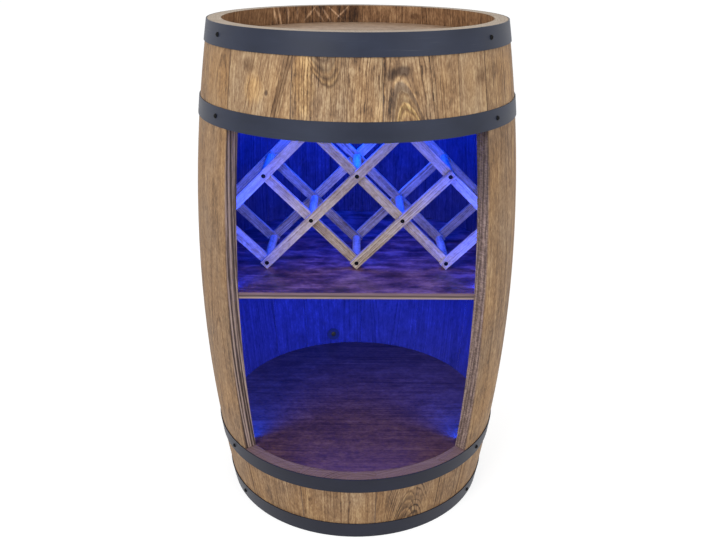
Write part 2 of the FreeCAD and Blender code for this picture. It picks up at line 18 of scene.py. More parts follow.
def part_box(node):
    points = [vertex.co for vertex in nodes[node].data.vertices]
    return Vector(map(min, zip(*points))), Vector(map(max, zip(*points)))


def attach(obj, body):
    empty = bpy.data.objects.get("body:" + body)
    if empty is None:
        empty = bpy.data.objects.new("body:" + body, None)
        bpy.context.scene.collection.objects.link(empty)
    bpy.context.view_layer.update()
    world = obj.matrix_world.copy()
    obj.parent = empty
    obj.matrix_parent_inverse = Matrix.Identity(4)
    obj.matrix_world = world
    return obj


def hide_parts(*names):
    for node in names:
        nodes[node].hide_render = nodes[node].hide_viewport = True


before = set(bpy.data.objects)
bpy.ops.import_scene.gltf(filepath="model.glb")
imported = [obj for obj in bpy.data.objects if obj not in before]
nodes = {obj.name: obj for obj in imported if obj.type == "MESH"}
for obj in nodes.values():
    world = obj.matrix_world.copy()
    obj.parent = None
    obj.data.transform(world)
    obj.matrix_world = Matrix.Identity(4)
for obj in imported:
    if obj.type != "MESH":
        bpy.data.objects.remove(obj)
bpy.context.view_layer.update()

# %% [markdown]
# A barrel is round, so nearly every finish needs its axis. The floor board is a round disc, which makes its
# middle the axis, and the top end of a full stave gives the height and the radius of the rim. The belly is
# half way up. Three points of the wall (rim, belly, rim) then give the radius of the bow.

# %% Measure the barrel
# points this close below the top of a stave lie on the rim
AT_RIM = 0.0001
floor_low, floor_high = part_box("floor_board")
axis_y = (floor_low.y + floor_high.y) / 2
barrel_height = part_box("jamb_stave_left")[1].z


def around_axis(point):
    """Angle from the front, to the right, and distance from the barrel's axis."""
    return math.atan2(point.x, axis_y - point.y), math.hypot(point.x, point.y - axis_y)


def wall_points(name):
    """Every corner of one piece of the wall."""
    return [vertex.co for vertex in nodes[name].data.vertices]


def outer_radius(points):
    """Distance from the axis to the outermost of some points."""
    return max(around_axis(point)[1] for point in points)


def wall_angles(name):
    """Angle of the middle of a piece of the wall, and half the angle that the piece spans."""
    points = wall_points(name)
    first = around_axis(points[0])[0]
    turns = [(around_axis(p)[0] - first + math.pi) % math.tau - math.pi for p in points]
    return first + (min(turns) + max(turns)) / 2, (max(turns) - min(turns)) / 2


rim_radius = outer_radius(p for p in wall_points("jamb_stave_left") if p.z > barrel_height - AT_RIM)
belly_radius = outer_radius(wall_points("side_stave_left_2"))
belly_height = barrel_height / 2
bulge = belly_radius - rim_radius
bow_radius = (belly_height ** 2 + bulge ** 2) / (2 * bulge)
opening_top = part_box("top_stave_1")[0].z
head_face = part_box("top_head_middle_board")[1].z
print(f"axis y {axis_y:.4f}, rim {rim_radius:.4f}, belly {belly_radius:.4f}, bow {bow_radius:.3f}")
print(f"opening from {floor_high.z:.4f} to {opening_top:.4f}, top head at {head_face:.4f}")

# %% [markdown]
# ## Node helpers
# A procedural material is a chain of small nodes. Written out one call at a time the chain is long and hard
# to read, so these helpers add a node, plug in its inputs and hand back the output socket, and a material
# then reads like a formula.

# %% Helpers that add one node
def add(tree, kind, inputs, output=0, **settings):
    """Adds a node, sets it up, plugs sockets or numbers into its inputs and returns one output."""
    fresh = tree.nodes.new(kind)
    for name, value in settings.items():
        setattr(fresh, name, value)
    for key, value in inputs.items():
        if isinstance(value, bpy.types.NodeSocket):
            tree.links.new(value, fresh.inputs[key])
        else:
            fresh.inputs[key].default_value = value
    return fresh.outputs[output]


def calc(tree, operation, first, second=0.0, third=0.0, clamp=False):
    """One arithmetic step."""
    return add(tree, "ShaderNodeMath", {0: first, 1: second, 2: third}, operation=operation, use_clamp=clamp)


def join_xyz(tree, x, y, z):
    return add(tree, "ShaderNodeCombineXYZ", {0: x, 1: y, 2: z})


def split_xyz(tree, vector):
    split = add(tree, "ShaderNodeSeparateXYZ", {0: vector}).node
    return split.outputs[0], split.outputs[1], split.outputs[2]


def vector_step(tree, operation, first, second):
    """One arithmetic step on all three directions at once."""
    return add(tree, "ShaderNodeVectorMath", {0: first, 1: second}, operation=operation)


def smooth(tree, value, start, end, low=0.0, high=1.0):
    """Runs softly from low to high while the value goes from start to end."""
    return add(tree, "ShaderNodeMapRange", {0: value, 1: start, 2: end, 3: low, 4: high},
               interpolation_type="SMOOTHSTEP")


def object_place(tree):
    """The place on the object, in metres from its origin."""
    return add(tree, "ShaderNodeTexCoord", {}, output="Object")


def object_normal(tree):
    """The way that the surface faces."""
    return add(tree, "ShaderNodeTexCoord", {}, output="Normal")


print("node helpers ready")

# %% Helpers for patterns and colours
def noise(tree, vector, lumps, detail=2.0, roughness=0.5):
    """Noise from 0 to 1, with so many lumps per metre along each direction of its vector."""
    scaled = vector_step(tree, "MULTIPLY", vector, lumps)
    return add(tree, "ShaderNodeTexNoise", {"Vector": scaled, "Scale": 1.0, "Detail": detail,
                                            "Roughness": roughness})


def vary(tree, value, lumpy, share):
    """Adds a share of a noise to a value; where the noise is at its middle, a half, the value stays."""
    return calc(tree, "MULTIPLY_ADD", calc(tree, "SUBTRACT", lumpy, 0.5), share, value)


def ramp(tree, value, stops):
    """Colours along a value from 0 to 1."""
    fresh = tree.nodes.new("ShaderNodeValToRGB")
    fresh.color_ramp.elements.remove(fresh.color_ramp.elements[1])
    for number, (place, colour) in enumerate(stops):
        if number:
            fresh.color_ramp.elements.new(place)
        fresh.color_ramp.elements[number].position = place
        fresh.color_ramp.elements[number].color = (*colour, 1.0)
    tree.links.new(value, fresh.inputs[0])
    return fresh.outputs[0]


def mix(tree, share, first, second, blend="MIX"):
    """Mixes two colours; each may be a socket or a colour."""
    paint = {6: first, 7: second}
    for key, value in paint.items():
        if not isinstance(value, bpy.types.NodeSocket):
            paint[key] = (*value, 1.0)
    return add(tree, "ShaderNodeMix", {0: share, **paint}, output=2, data_type="RGBA", blend_type=blend)


def tinted(tree, colour, tint, share=1.0):
    """The colour multiplied by a tint, as a stain does it; share says how much of the tint shows."""
    return mix(tree, share, colour, tint, "MULTIPLY")


print("pattern helpers ready")

# %% Helpers for whole materials
def new_material(name):
    """An empty material, its node tree and its shader."""
    material = bpy.data.materials.new(name)
    material.use_nodes = True
    tree = material.node_tree
    return material, tree, tree.nodes["Principled BSDF"]


def finish_surface(tree, shader, colour, roughness, height, strength, distance, shine=0.5):
    """Plugs colour, roughness and relief into the shader; shine is 0.5 for plastic, less for bare wood."""
    tree.links.new(colour, shader.inputs["Base Color"])
    tree.links.new(roughness, shader.inputs["Roughness"])
    shader.inputs["Specular IOR Level"].default_value = shine
    bump = add(tree, "ShaderNodeBump", {"Strength": strength, "Distance": distance, "Height": height})
    tree.links.new(bump, shader.inputs["Normal"])


def dress(name, material):
    """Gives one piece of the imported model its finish."""
    nodes[name].data.materials[0] = material


print("material helpers ready")

# %% [markdown]
# ## Wood
# Sawn wood is a stack of growth rings cut open. Each ring is pale, then ends in a thin dark line. If the
# rings are made in three dimensions, as tubes round a pith line, then every face that a saw has opened
# shows its right figure by itself: fine stripes on one stave, pointed arches on the next, short arcs on the
# end grain. A picture wrapped round the barrel could never do that. The cabinet's wood is brushed, so fine
# fibre lines lie over the rings, and stained.
#
# A board gives the recipe a place (across the board, depth below its face, distance along it) and a few
# numbers that say how it was sawn: where the pith lies, how much it leans, how wide the rings are.

# %% Rings of growth
# shares of a ring at which its dark late wood begins, is darkest and starts to end
LATE_BEGINS, LATE_DARKEST, LATE_ENDS = 0.48, 0.88, 0.93
# rings aren't equally wide: lumps per metre away from the pith, and the rings by which they shift the count
UNEVEN_LUMPS, UNEVEN_RINGS = 90.0, 5.0
# strength of the dark line in the weakest year, and what the strongest year adds
YEAR_LEAST, YEAR_ADDS = 0.45, 0.9
# lumps per metre across a board, into it and along it, of the slow wander of its grain, of small kinks in the
# rings and of the zones where the lines are clear
WANDER_LUMPS, RIPPLE_LUMPS, ZONE_LUMPS = (16.0, 16.0, 4.5), (85.0, 85.0, 34.0), (17.0, 17.0, 3.5)


def count_rings(tree, place, board, wander):
    """How many rings lie between a place and the pith line."""
    across, depth, along = split_xyz(tree, place)
    along_pith = calc(tree, "SUBTRACT", along, board["pith_at"])
    pith_side = calc(tree, "MULTIPLY_ADD", along_pith, board["drift"], board["pith_side"])
    side = calc(tree, "SUBTRACT", across, pith_side)
    pith_down = calc(tree, "MULTIPLY_ADD", along_pith, board["lean"], board["pith_depth"])
    down = calc(tree, "ADD", depth, pith_down)
    from_pith = calc(tree, "SQRT", calc(tree, "MULTIPLY_ADD", side, side, calc(tree, "MULTIPLY", down, down)))
    from_pith = calc(tree, "MULTIPLY_ADD", wander, board["wander"], from_pith)
    uneven = noise(tree, join_xyz(tree, from_pith, board["seed"], 0.0), (UNEVEN_LUMPS, 1.0, 1.0), detail=3.0)
    even_rings = calc(tree, "DIVIDE", from_pith, board["ring"])
    counted = calc(tree, "ADD", even_rings, calc(tree, "MULTIPLY", uneven, UNEVEN_RINGS))
    return calc(tree, "MULTIPLY_ADD", noise(tree, place, RIPPLE_LUMPS), board["ripple"], counted)


def late_wood(tree, counted, year):
    """The dark line at the end of each ring, stronger in some years than in others."""
    ring = calc(tree, "FRACT", counted)
    rising = smooth(tree, ring, LATE_BEGINS, LATE_DARKEST)
    late = calc(tree, "MULTIPLY", rising, smooth(tree, ring, 1.0, LATE_ENDS))
    return calc(tree, "MULTIPLY", late, calc(tree, "MULTIPLY_ADD", year, YEAR_ADDS, YEAR_LEAST))


print(f"late wood is darkest at {LATE_DARKEST:.0%} of a ring")

# %% One recipe for all sawn wood
# lumps per metre (across, into, along), detail and roughness of each unevenness; three follow the grain
ALONG_GRAIN = {"streak": ((210.0, 210.0, 4.0), 4.0, 0.62), "fibre": ((900.0, 900.0, 26.0), 2.0, 0.6),
               "fleck": ((560.0, 560.0, 150.0), 2.0, 0.65)}
OVER_GRAIN = {"cloud": ((48.0, 48.0, 24.0), 4.0, 0.6), "mottle": ((135.0, 135.0, 95.0), 3.0, 0.6)}
# share of the slow wander by which streaks, fibres and flecks sway sideways
SWAY = 0.6
# noise at which a zone of clear lines begins and is reached
ZONE_BEGINS, ZONE_CLEAR = 0.42, 0.66


def sawn_wood(tree, place, board, figure=0.0):
    """The tone of brushed wood at a place, from 0 dark to 1 light, its growth lines and its fibres.

    figure is 1 where the growth lines stand out most.
    """
    wander = calc(tree, "SUBTRACT", noise(tree, place, WANDER_LUMPS, detail=3.0), 0.5)
    counted = count_rings(tree, place, board, wander)
    year = add(tree, "ShaderNodeTexWhiteNoise", {"W": calc(tree, "FLOOR", counted)}, noise_dimensions="1D")
    shifted = vector_step(tree, "ADD", place, (board["seed"], 0.0, 0.0))
    sway = join_xyz(tree, calc(tree, "MULTIPLY", wander, board["wander"] * SWAY), 0.0, 0.0)
    swayed = vector_step(tree, "ADD", sway, shifted)
    zone = noise(tree, shifted, ZONE_LUMPS)
    clear = smooth(tree, zone, ZONE_BEGINS, ZONE_CLEAR, board["plain"], 1.0)
    seen = calc(tree, "ADD", clear, figure, clamp=True)
    lines = calc(tree, "MULTIPLY", late_wood(tree, counted, year), seen)
    tone = board["tone"]
    layers = {}
    for start, kinds in ((swayed, ALONG_GRAIN), (shifted, OVER_GRAIN)):
        for kind, (lumps, detail, roughness) in kinds.items():
            layers[kind] = noise(tree, start, lumps, detail, roughness)
            tone = vary(tree, tone, layers[kind], board[kind])
    year_tone = calc(tree, "MULTIPLY", calc(tree, "SUBTRACT", year, 0.5), seen)
    tone = calc(tree, "MULTIPLY_ADD", year_tone, board["year"], tone)
    tone = calc(tree, "MULTIPLY_ADD", lines, -board["line"], tone)
    return tone, lines, layers["fibre"]


def board_style(**changes):
    """How one board was sawn; the changes are what differs from a plain board."""
    style = {"pith_side": 0.03, "pith_depth": 0.05, "pith_at": 0.4, "lean": 0.02, "drift": 0.01,
             "wander": 0.008, "ring": 0.0042, "ripple": 0.5, "line": 0.5, "plain": 0.2, "year": 0.12,
             "streak": 0.8, "fibre": 0.45, "fleck": 0.9, "cloud": 0.9, "mottle": 0.6, "tone": 0.62,
             "rim_tone": 0.60, "rim_shade": 1.0, "saw_lines": 0.5, "edge_lit_low": 1.0, "edge_shadow_top": 1.0,
             "seed": 0.0}
    style.update(changes)
    return style


print("wood recipe ready")

# %% [markdown]
# ## Staves
# A stave is a plank bent to the bow of the barrel, so its grain bends too. The place on it is therefore
# counted from the stave's own middle: turn the barrel until the stave faces forward, then take away the bow
# from the distance to the axis. Each stave gets its own numbers, because no two planks in a barrel come
# from the same place in a tree.

# %% Place on a stave
BARREL_AXIS = (0.0, axis_y, 0.0)
# distances from a joint at which its dark line starts to show and is full
SEAM_FAINT, SEAM_FULL = 0.0016, 0.0003


def local_place(tree, centre, turn):
    """The place counted from a centre, along turned directions."""
    return add(tree, "ShaderNodeMapping", {"Vector": object_place(tree), "Location": centre,
                                           "Rotation": turn}, vector_type="TEXTURE")


def place_on_stave(tree, angle):
    """Across the stave, depth below its bowed face, and height; and the normal turned the same way."""
    across, inward, height = split_xyz(tree, local_place(tree, BARREL_AXIS, (0.0, 0.0, angle)))
    from_belly = calc(tree, "SUBTRACT", height, belly_height)
    bow = calc(tree, "DIVIDE", calc(tree, "MULTIPLY", from_belly, from_belly), 2 * bow_radius)
    depth = calc(tree, "SUBTRACT", calc(tree, "ADD", inward, belly_radius), bow)
    facing = add(tree, "ShaderNodeMapping", {"Vector": object_normal(tree), "Rotation": (0.0, 0.0, -angle)},
                 vector_type="VECTOR")
    return join_xyz(tree, across, depth, height), facing


def seam_shade(tree, angle, half_span):
    """1 on the thin line where a stave meets its neighbours, which are both at half_span from its middle."""
    shade = 0.0
    for side in (-1, 1):
        place = local_place(tree, BARREL_AXIS, (0.0, 0.0, angle + side * half_span))
        away = calc(tree, "ABSOLUTE", split_xyz(tree, place)[0])
        shade = calc(tree, "ADD", shade, smooth(tree, away, SEAM_FAINT, SEAM_FULL), clamp=True)
    return shade


print("places on a stave ready")

# %% [markdown]
# Knots, mineral streaks and pale patches come from accidents in the life of the tree, which no formula for
# rings makes. They are soft ragged patches that are laid on a stave one by one. Where a saw has just grazed
# a ring, the rings show as nested arches instead, so these are drawn as curves below an apex, each distance
# with its own tint.

# %% Marks and arches on a stave
# lumps per metre and size of the unevenness that makes the outline of a mark and of an arch ragged
MARK_LUMPS, MARK_RAGGED = (150.0, 150.0, 60.0), 1.1
ARCH_LUMPS, ARCH_RAGGED = (120.0, 120.0, 60.0), 0.007
# where a mark ends and where it is full, in shares of its half sizes
MARK_ENDS, MARK_FULL = 1.15, 0.4
ARCH_DEPTH = 0.070
# heights over the top arch at which the tints start and are full, and the share of the reach that is full
ARCH_STARTS, ARCH_FULL, ARCH_CORE = 0.003, -0.001, 0.55


def leaning(tree, place, side, height, lean):
    """Distances across and up from a point of the stave, where the way up leans to one side."""
    across, _, up = split_xyz(tree, vector_step(tree, "SUBTRACT", place, (side, 0.0, height)))
    return calc(tree, "MULTIPLY_ADD", up, -lean, across), up


def mark(tree, place, side, height, half_side, half_height, slant=0.0):
    """A soft ragged patch: 1 in its middle, 0 outside; slant moves it sideways with the height."""
    across, up = leaning(tree, place, side, height, slant)
    halves = (1 / half_side, 1.0, 1 / half_height)
    local = vector_step(tree, "MULTIPLY", join_xyz(tree, across, 0.0, up), halves)
    reach = add(tree, "ShaderNodeVectorMath", {0: local}, output="Value", operation="LENGTH")
    reach = vary(tree, reach, noise(tree, place, MARK_LUMPS, detail=3.0), MARK_RAGGED)
    return smooth(tree, reach, MARK_ENDS, MARK_FULL)


def arch_tint(tree, place, side, apex, curve, lean, reach, tints, upright=1.0):
    """Nested arches: a tint for each distance below the top arch, and how much of it shows.

    curve says how fast the arches open downwards, and reach how far sideways they go. They hang where upright
    is -1.
    """
    across, up = leaning(tree, place, side, apex, lean)
    up = calc(tree, "MULTIPLY", up, upright)
    level = calc(tree, "MULTIPLY_ADD", calc(tree, "MULTIPLY", across, across), curve, up)
    level = vary(tree, level, noise(tree, place, ARCH_LUMPS, detail=3.0), ARCH_RAGGED)
    below = calc(tree, "MULTIPLY", level, -1.0 / ARCH_DEPTH, clamp=True)
    near = smooth(tree, calc(tree, "ABSOLUTE", across), reach, reach * ARCH_CORE)
    near = calc(tree, "MULTIPLY", near, smooth(tree, level, ARCH_STARTS, ARCH_FULL))
    return ramp(tree, below, tints), near


print(f"arches run {ARCH_DEPTH * 1000:.0f} mm down from their apex")

# %% [markdown]
# A stave shows four kinds of surface. Its face is stained and its sides are joints, which are only a thin
# dark line, apart from the jambs: there the saw has cut along the rings and left long stripes. Inside, the
# cabinet is drawn dark and bluish up to the top head, which is painted shade and painted blue LED light, and
# it is stained above the head, and the ends show end grain. The normal, turned with the stave, tells which
# surface a point belongs to.

# %% Face and sawn edge of a stave
# colours of the stained face and of the sawn edge, from dark to light
STAIN = [(0.0, (0.062, 0.038, 0.025)), (0.33, (0.228, 0.132, 0.067)), (0.62, (0.375, 0.229, 0.116)),
         (1.0, (0.64, 0.45, 0.25))]
SAWN_EDGE = [(0.0, (0.050, 0.032, 0.026)), (0.40, (0.120, 0.080, 0.064)), (0.62, (0.270, 0.190, 0.150)),
             (1.0, (0.50, 0.37, 0.30))]
# tints of the slow change from a redder to a bluer stain, and tint and strength of the dark line at a joint
HUES = [(0.36, (1.04, 0.99, 0.92)), (0.64, (0.96, 1.01, 1.14))]
HUE_LUMPS = (14.0, 14.0, 7.0)
JOINT_TINT, JOINT_STRENGTH = (0.30, 0.24, 0.20), 0.22
# heights between which a sawn edge goes from its lower tint to its upper one: lighter below as painted light,
# darker above as painted shadow
EDGE_SHADOW_BEGINS, EDGE_SHADOW_FULL = 0.50, 0.61
# sideways drift of the stripes per metre up, their lumps per metre, and the noise between dark and light ones
STRIPE_DRIFT, STRIPE_LUMPS, STRIPE_DARK, STRIPE_LIGHT = 0.03, (1.0, 330.0, 3.0), 0.40, 0.60
# lumps per metre of the fibres on a sawn edge and of the marks of the saw, and how much the marks show
EDGE_FIBRES, SAW_TEETH, TEETH_SHOW = (800.0, 800.0, 60.0), (200.0, 200.0, 520.0), 0.9
# depths at which the pale front edge of a jamb ends and is full, and its tone; the pale line is partly wear
# and partly a painted highlight of the rounded corner
ARRIS_ENDS, ARRIS_FULL, ARRIS_WEAR_AND_HIGHLIGHT = 0.0022, 0.0012, 0.75


def stave_face(tree, place, tone, stains, arches, joint):
    """Stained face with its marks, its arches and the dark lines at its joints."""
    colour = tinted(tree, ramp(tree, tone, STAIN), ramp(tree, noise(tree, place, HUE_LUMPS), HUES))
    for share, tint in stains:
        colour = tinted(tree, colour, tint, share)
    for arch in arches:
        tint, share = arch_tint(tree, place, *arch)
        colour = tinted(tree, colour, tint, share)
    return tinted(tree, colour, JOINT_TINT, calc(tree, "MULTIPLY", joint, JOINT_STRENGTH))


def edge_stripes(tree, place, strength):
    """Tone of the long stripes that cut rings leave on a sawn edge, with the short cross marks of the saw."""
    _, depth, along = split_xyz(tree, place)
    drifting = calc(tree, "MULTIPLY_ADD", along, STRIPE_DRIFT, depth)
    stripes = noise(tree, join_xyz(tree, 0.0, drifting, along), STRIPE_LUMPS)
    tone = smooth(tree, stripes, STRIPE_DARK, STRIPE_LIGHT, 0.5 - strength / 2, 0.5 + strength / 2)
    tone = vary(tree, tone, noise(tree, place, EDGE_FIBRES, detail=3.0), 1.0)
    tone = vary(tree, tone, noise(tree, place, SAW_TEETH), TEETH_SHOW * (1.0 - strength))
    # pale line on the front edge: partly wear, partly a painted highlight of the rounded corner
    worn_lit_arris = smooth(tree, depth, ARRIS_ENDS, ARRIS_FULL)
    return calc(tree, "MAXIMUM", tone, calc(tree, "MULTIPLY", worn_lit_arris, ARRIS_WEAR_AND_HIGHLIGHT))


def stave_edge(tree, place, height, board):
    """Sawn edge beside the opening, darker in its upper part as painted shadow and lighter below as painted
    light.
    """
    # multiplier from painted light low on the edge to painted shadow near the top of the opening
    shade = smooth(tree, height, EDGE_SHADOW_BEGINS, EDGE_SHADOW_FULL, board["edge_lit_low"], board["edge_shadow_top"])
    sawn = ramp(tree, edge_stripes(tree, place, board["saw_lines"]), SAWN_EDGE)
    return tinted(tree, sawn, join_xyz(tree, shade, shade, shade))


print("face and edge ready")

# %% Inside and ends of a stave
# colours of the inner wall below the top head, from dark to light: painted shade and painted blue LED light
# over the wood
INSIDE_SHADE_AND_LED_BLUE = [(0.0, (0.020, 0.017, 0.036)), (0.62, (0.052, 0.045, 0.090)), (1.0, (0.095, 0.085, 0.16))]
RIM_CONTRAST, RIM_TINT = 1.2, (0.73, 0.625, 0.575)
# end grain of the rim and of the sills of the opening, from dark to light
RIM_END = [(0.0, (0.14, 0.10, 0.07)), (0.6, (0.38, 0.30, 0.225)), (1.0, (0.58, 0.49, 0.39))]
SILL_END = [(0.0, (0.07, 0.035, 0.03)), (0.6, (0.19, 0.115, 0.10)), (1.0, (0.32, 0.22, 0.19))]
# base tone of end grain, and what fibres, growth lines and arcs of rings add to it
END_TONE, END_FIBRE, END_LINE, END_ARCS = 0.45, 0.5, -0.35, 0.7
ARC_LUMPS = (12.0, 420.0, 0.0)


def stave_inside(tree, tone, board, stains, above_head):
    """Inner face: painted shade and painted blue LED light up to the top head, stained and marked like the
    outside above it.
    """
    beside_board = calc(tree, "SUBTRACT", tone, board["tone"])
    rim_tone = calc(tree, "MULTIPLY_ADD", beside_board, RIM_CONTRAST, board["rim_tone"])
    stained = tinted(tree, ramp(tree, rim_tone, STAIN), RIM_TINT)
    for share, tint in stains:
        stained = tinted(tree, stained, tint, share)
    return mix(tree, above_head, ramp(tree, tone, INSIDE_SHADE_AND_LED_BLUE), stained)


def stave_end(tree, place, lines, fibre, rim_shade, above_head):
    """End grain: pale on the rim, darker and redder on the sills of the opening."""
    tone = calc(tree, "MULTIPLY_ADD", lines, END_LINE, calc(tree, "MULTIPLY_ADD", fibre, END_FIBRE, END_TONE))
    tone = vary(tree, tone, noise(tree, place, ARC_LUMPS), END_ARCS)
    rim = tinted(tree, ramp(tree, tone, RIM_END), (rim_shade, rim_shade, rim_shade))
    return mix(tree, above_head, ramp(tree, tone, SILL_END), rim)


print("inside and ends ready")

# %% Material of a whole stave
# how far the normal has to turn before the sawn edge, the inner face and the end begin and are reached
EDGE_TURN, INNER_TURN, END_TURN = (0.75, 0.92), (0.3, 0.8), (0.7, 0.95)
# distance below the top head's face over which the painted shade and blue light of the inside turn into the
# stained one
HEAD_STAIN_REACH = 0.004
# roughness of brushed wood, and what its fibres and growth lines add
STAVE_ROUGH, FIBRE_ROUGH, LINE_ROUGH = 0.52, 0.2, 0.12
# how far fibres and growth lines stand up in the relief, and how deep a joint sinks
FIBRE_RELIEF, LINE_RELIEF, JOINT_RELIEF = 0.8, 0.7, -1.5


def stave_material(name, board, marks=(), figures=(), arches=()):
    """Brushed, stained stave: face, sawn edge, inner face and end grain each have their own shade."""
    angle, half_span = wall_angles(name)
    material, tree, shader = new_material(f"{name}_wood")
    place, facing = place_on_stave(tree, angle)
    figure = 0.0
    for zone in figures:
        figure = calc(tree, "ADD", mark(tree, place, *zone), figure, clamp=True)
    tone, lines, fibre = sawn_wood(tree, place, board, figure)
    stains = [(calc(tree, "MULTIPLY", mark(tree, place, *zone), strength), tint)
              for *zone, tint, strength in marks]
    joint = seam_shade(tree, angle, half_span)
    height = split_xyz(tree, place)[2]
    above_head = smooth(tree, height, head_face - HEAD_STAIN_REACH, head_face)
    sideways, inward, upward = split_xyz(tree, facing)
    surfaces = ((calc(tree, "ABSOLUTE", sideways), EDGE_TURN, stave_edge(tree, place, height, board)),
                (inward, INNER_TURN, stave_inside(tree, tone, board, stains, above_head)),
                (upward, END_TURN, stave_end(tree, place, lines, fibre, board["rim_shade"], above_head)))
    colour = stave_face(tree, place, tone, stains, arches, joint)
    for turned, (begins, reached), surface in surfaces:
        colour = mix(tree, smooth(tree, turned, begins, reached), colour, surface)
    roughness = calc(tree, "MULTIPLY_ADD", fibre, FIBRE_ROUGH, STAVE_ROUGH)
    roughness = calc(tree, "MULTIPLY_ADD", lines, LINE_ROUGH, roughness)
    relief = calc(tree, "MULTIPLY_ADD", lines, LINE_RELIEF, calc(tree, "MULTIPLY", fibre, FIBRE_RELIEF))
    relief = calc(tree, "MULTIPLY_ADD", joint, JOINT_RELIEF, relief)
    finish_surface(tree, shader, colour, roughness, relief, strength=0.5, distance=0.0006, shine=0.3)
    dress(name, material)


print("stave recipe ready")

# %% [markdown]
# The staves round the back were picked at random from the pile, and so are their numbers. The ones beside
# and above the opening are what everybody sees, so theirs are listed: one with a pale patch, a
# small knot and a slanting mineral streak, its neighbour yellow at one side with a hanging swirl, and two
# with pointed arches.

# %% Boards listed one by one
CHOSEN_BOARDS = {
    "top_stave_1": {"pith_side": 0.11, "pith_depth": 0.05, "pith_at": 0.73, "drift": 0.2, "tone": 0.71,
                    "plain": 0.35},
    "top_stave_2": {"pith_side": -0.075, "pith_depth": 0.016, "pith_at": 0.79, "lean": 0.10, "tone": 0.70,
                    "drift": 0.06, "ring": 0.0034, "plain": 0.4, "ripple": 1.2, "cloud": 1.4, "mottle": 0.8,
                    "streak": 0.6},
    "top_stave_3": {"pith_side": -0.031, "pith_depth": 0.025, "pith_at": 0.748, "lean": 0.12, "drift": -0.02,
                    "wander": 0.005, "ring": 0.0036, "line": 0.5, "tone": 0.65, "plain": 0.45, "ripple": 0.8,
                    "cloud": 1.1, "mottle": 0.7, "streak": 0.6},
    "top_stave_4": {"pith_side": -0.09, "pith_depth": 0.05, "tone": 0.72, "plain": 0.35},
    "bottom_stave_1": {"tone": 0.53, "line": 0.35},
    "bottom_stave_2": {"tone": 0.59, "line": 0.30, "plain": 0.05},
    "bottom_stave_3": {"pith_side": 0.012, "pith_depth": 0.030, "pith_at": 0.07, "lean": 0.22,
                       "wander": 0.004, "ring": 0.0034, "line": 0.45, "tone": 0.54},
    "bottom_stave_4": {"tone": 0.55},
    # the jambs' edge values are painted light low down and painted shadow at the top
    "jamb_stave_left": {"plain": 0.3, "line": 0.35, "cloud": 0.5, "tone": 0.53, "ring": 0.0034,
                        "saw_lines": 0.85, "edge_lit_low": 1.0, "edge_shadow_top": 0.76},
    "jamb_stave_right": {"tone": 0.57, "ring": 0.0034, "saw_lines": 0.25, "edge_lit_low": 1.2, "edge_shadow_top": 0.62},
    "back_stave_middle": {"rim_tone": 0.33, "cloud": 1.4, "rim_shade": 0.78},
    "back_stave_left": {"rim_tone": 0.46, "cloud": 1.2, "rim_shade": 0.78},
    "back_stave_right": {"rim_tone": 0.66, "cloud": 1.3, "rim_shade": 0.78},
}
print(f"{len(CHOSEN_BOARDS)} boards chosen by hand")

# %% Zones of clear figure and single marks
# tints of the marks: above 1 they bleach the stain, below 1 they darken it
YELLOWER = (1.20, 1.13, 0.92)
LIGHTER = (1.30, 1.25, 1.06)
GREYER = (0.84, 0.87, 0.93)
DARKER = (0.50, 0.45, 0.43)
CHARRED = (0.30, 0.28, 0.31)
PALE_LINE = (2.5, 3.0, 3.6)
# side, height, half width, half height, slant of the zones where growth lines stand out
STAVE_FIGURES = {
    "top_stave_1": [(0.040, 0.730, 0.012, 0.060, 0.22)],
    "top_stave_2": [(-0.043, 0.730, 0.020, 0.060, 0.0), (-0.005, 0.750, 0.016, 0.030, 0.0),
                    (0.054, 0.730, 0.010, 0.060, 0.0)],
    "top_stave_3": [(-0.052, 0.735, 0.012, 0.060, 0.0), (0.020, 0.735, 0.010, 0.060, -0.3)],
    "bottom_stave_3": [(-0.030, 0.055, 0.014, 0.060, 0.0), (0.020, 0.060, 0.012, 0.060, 0.0)],
}
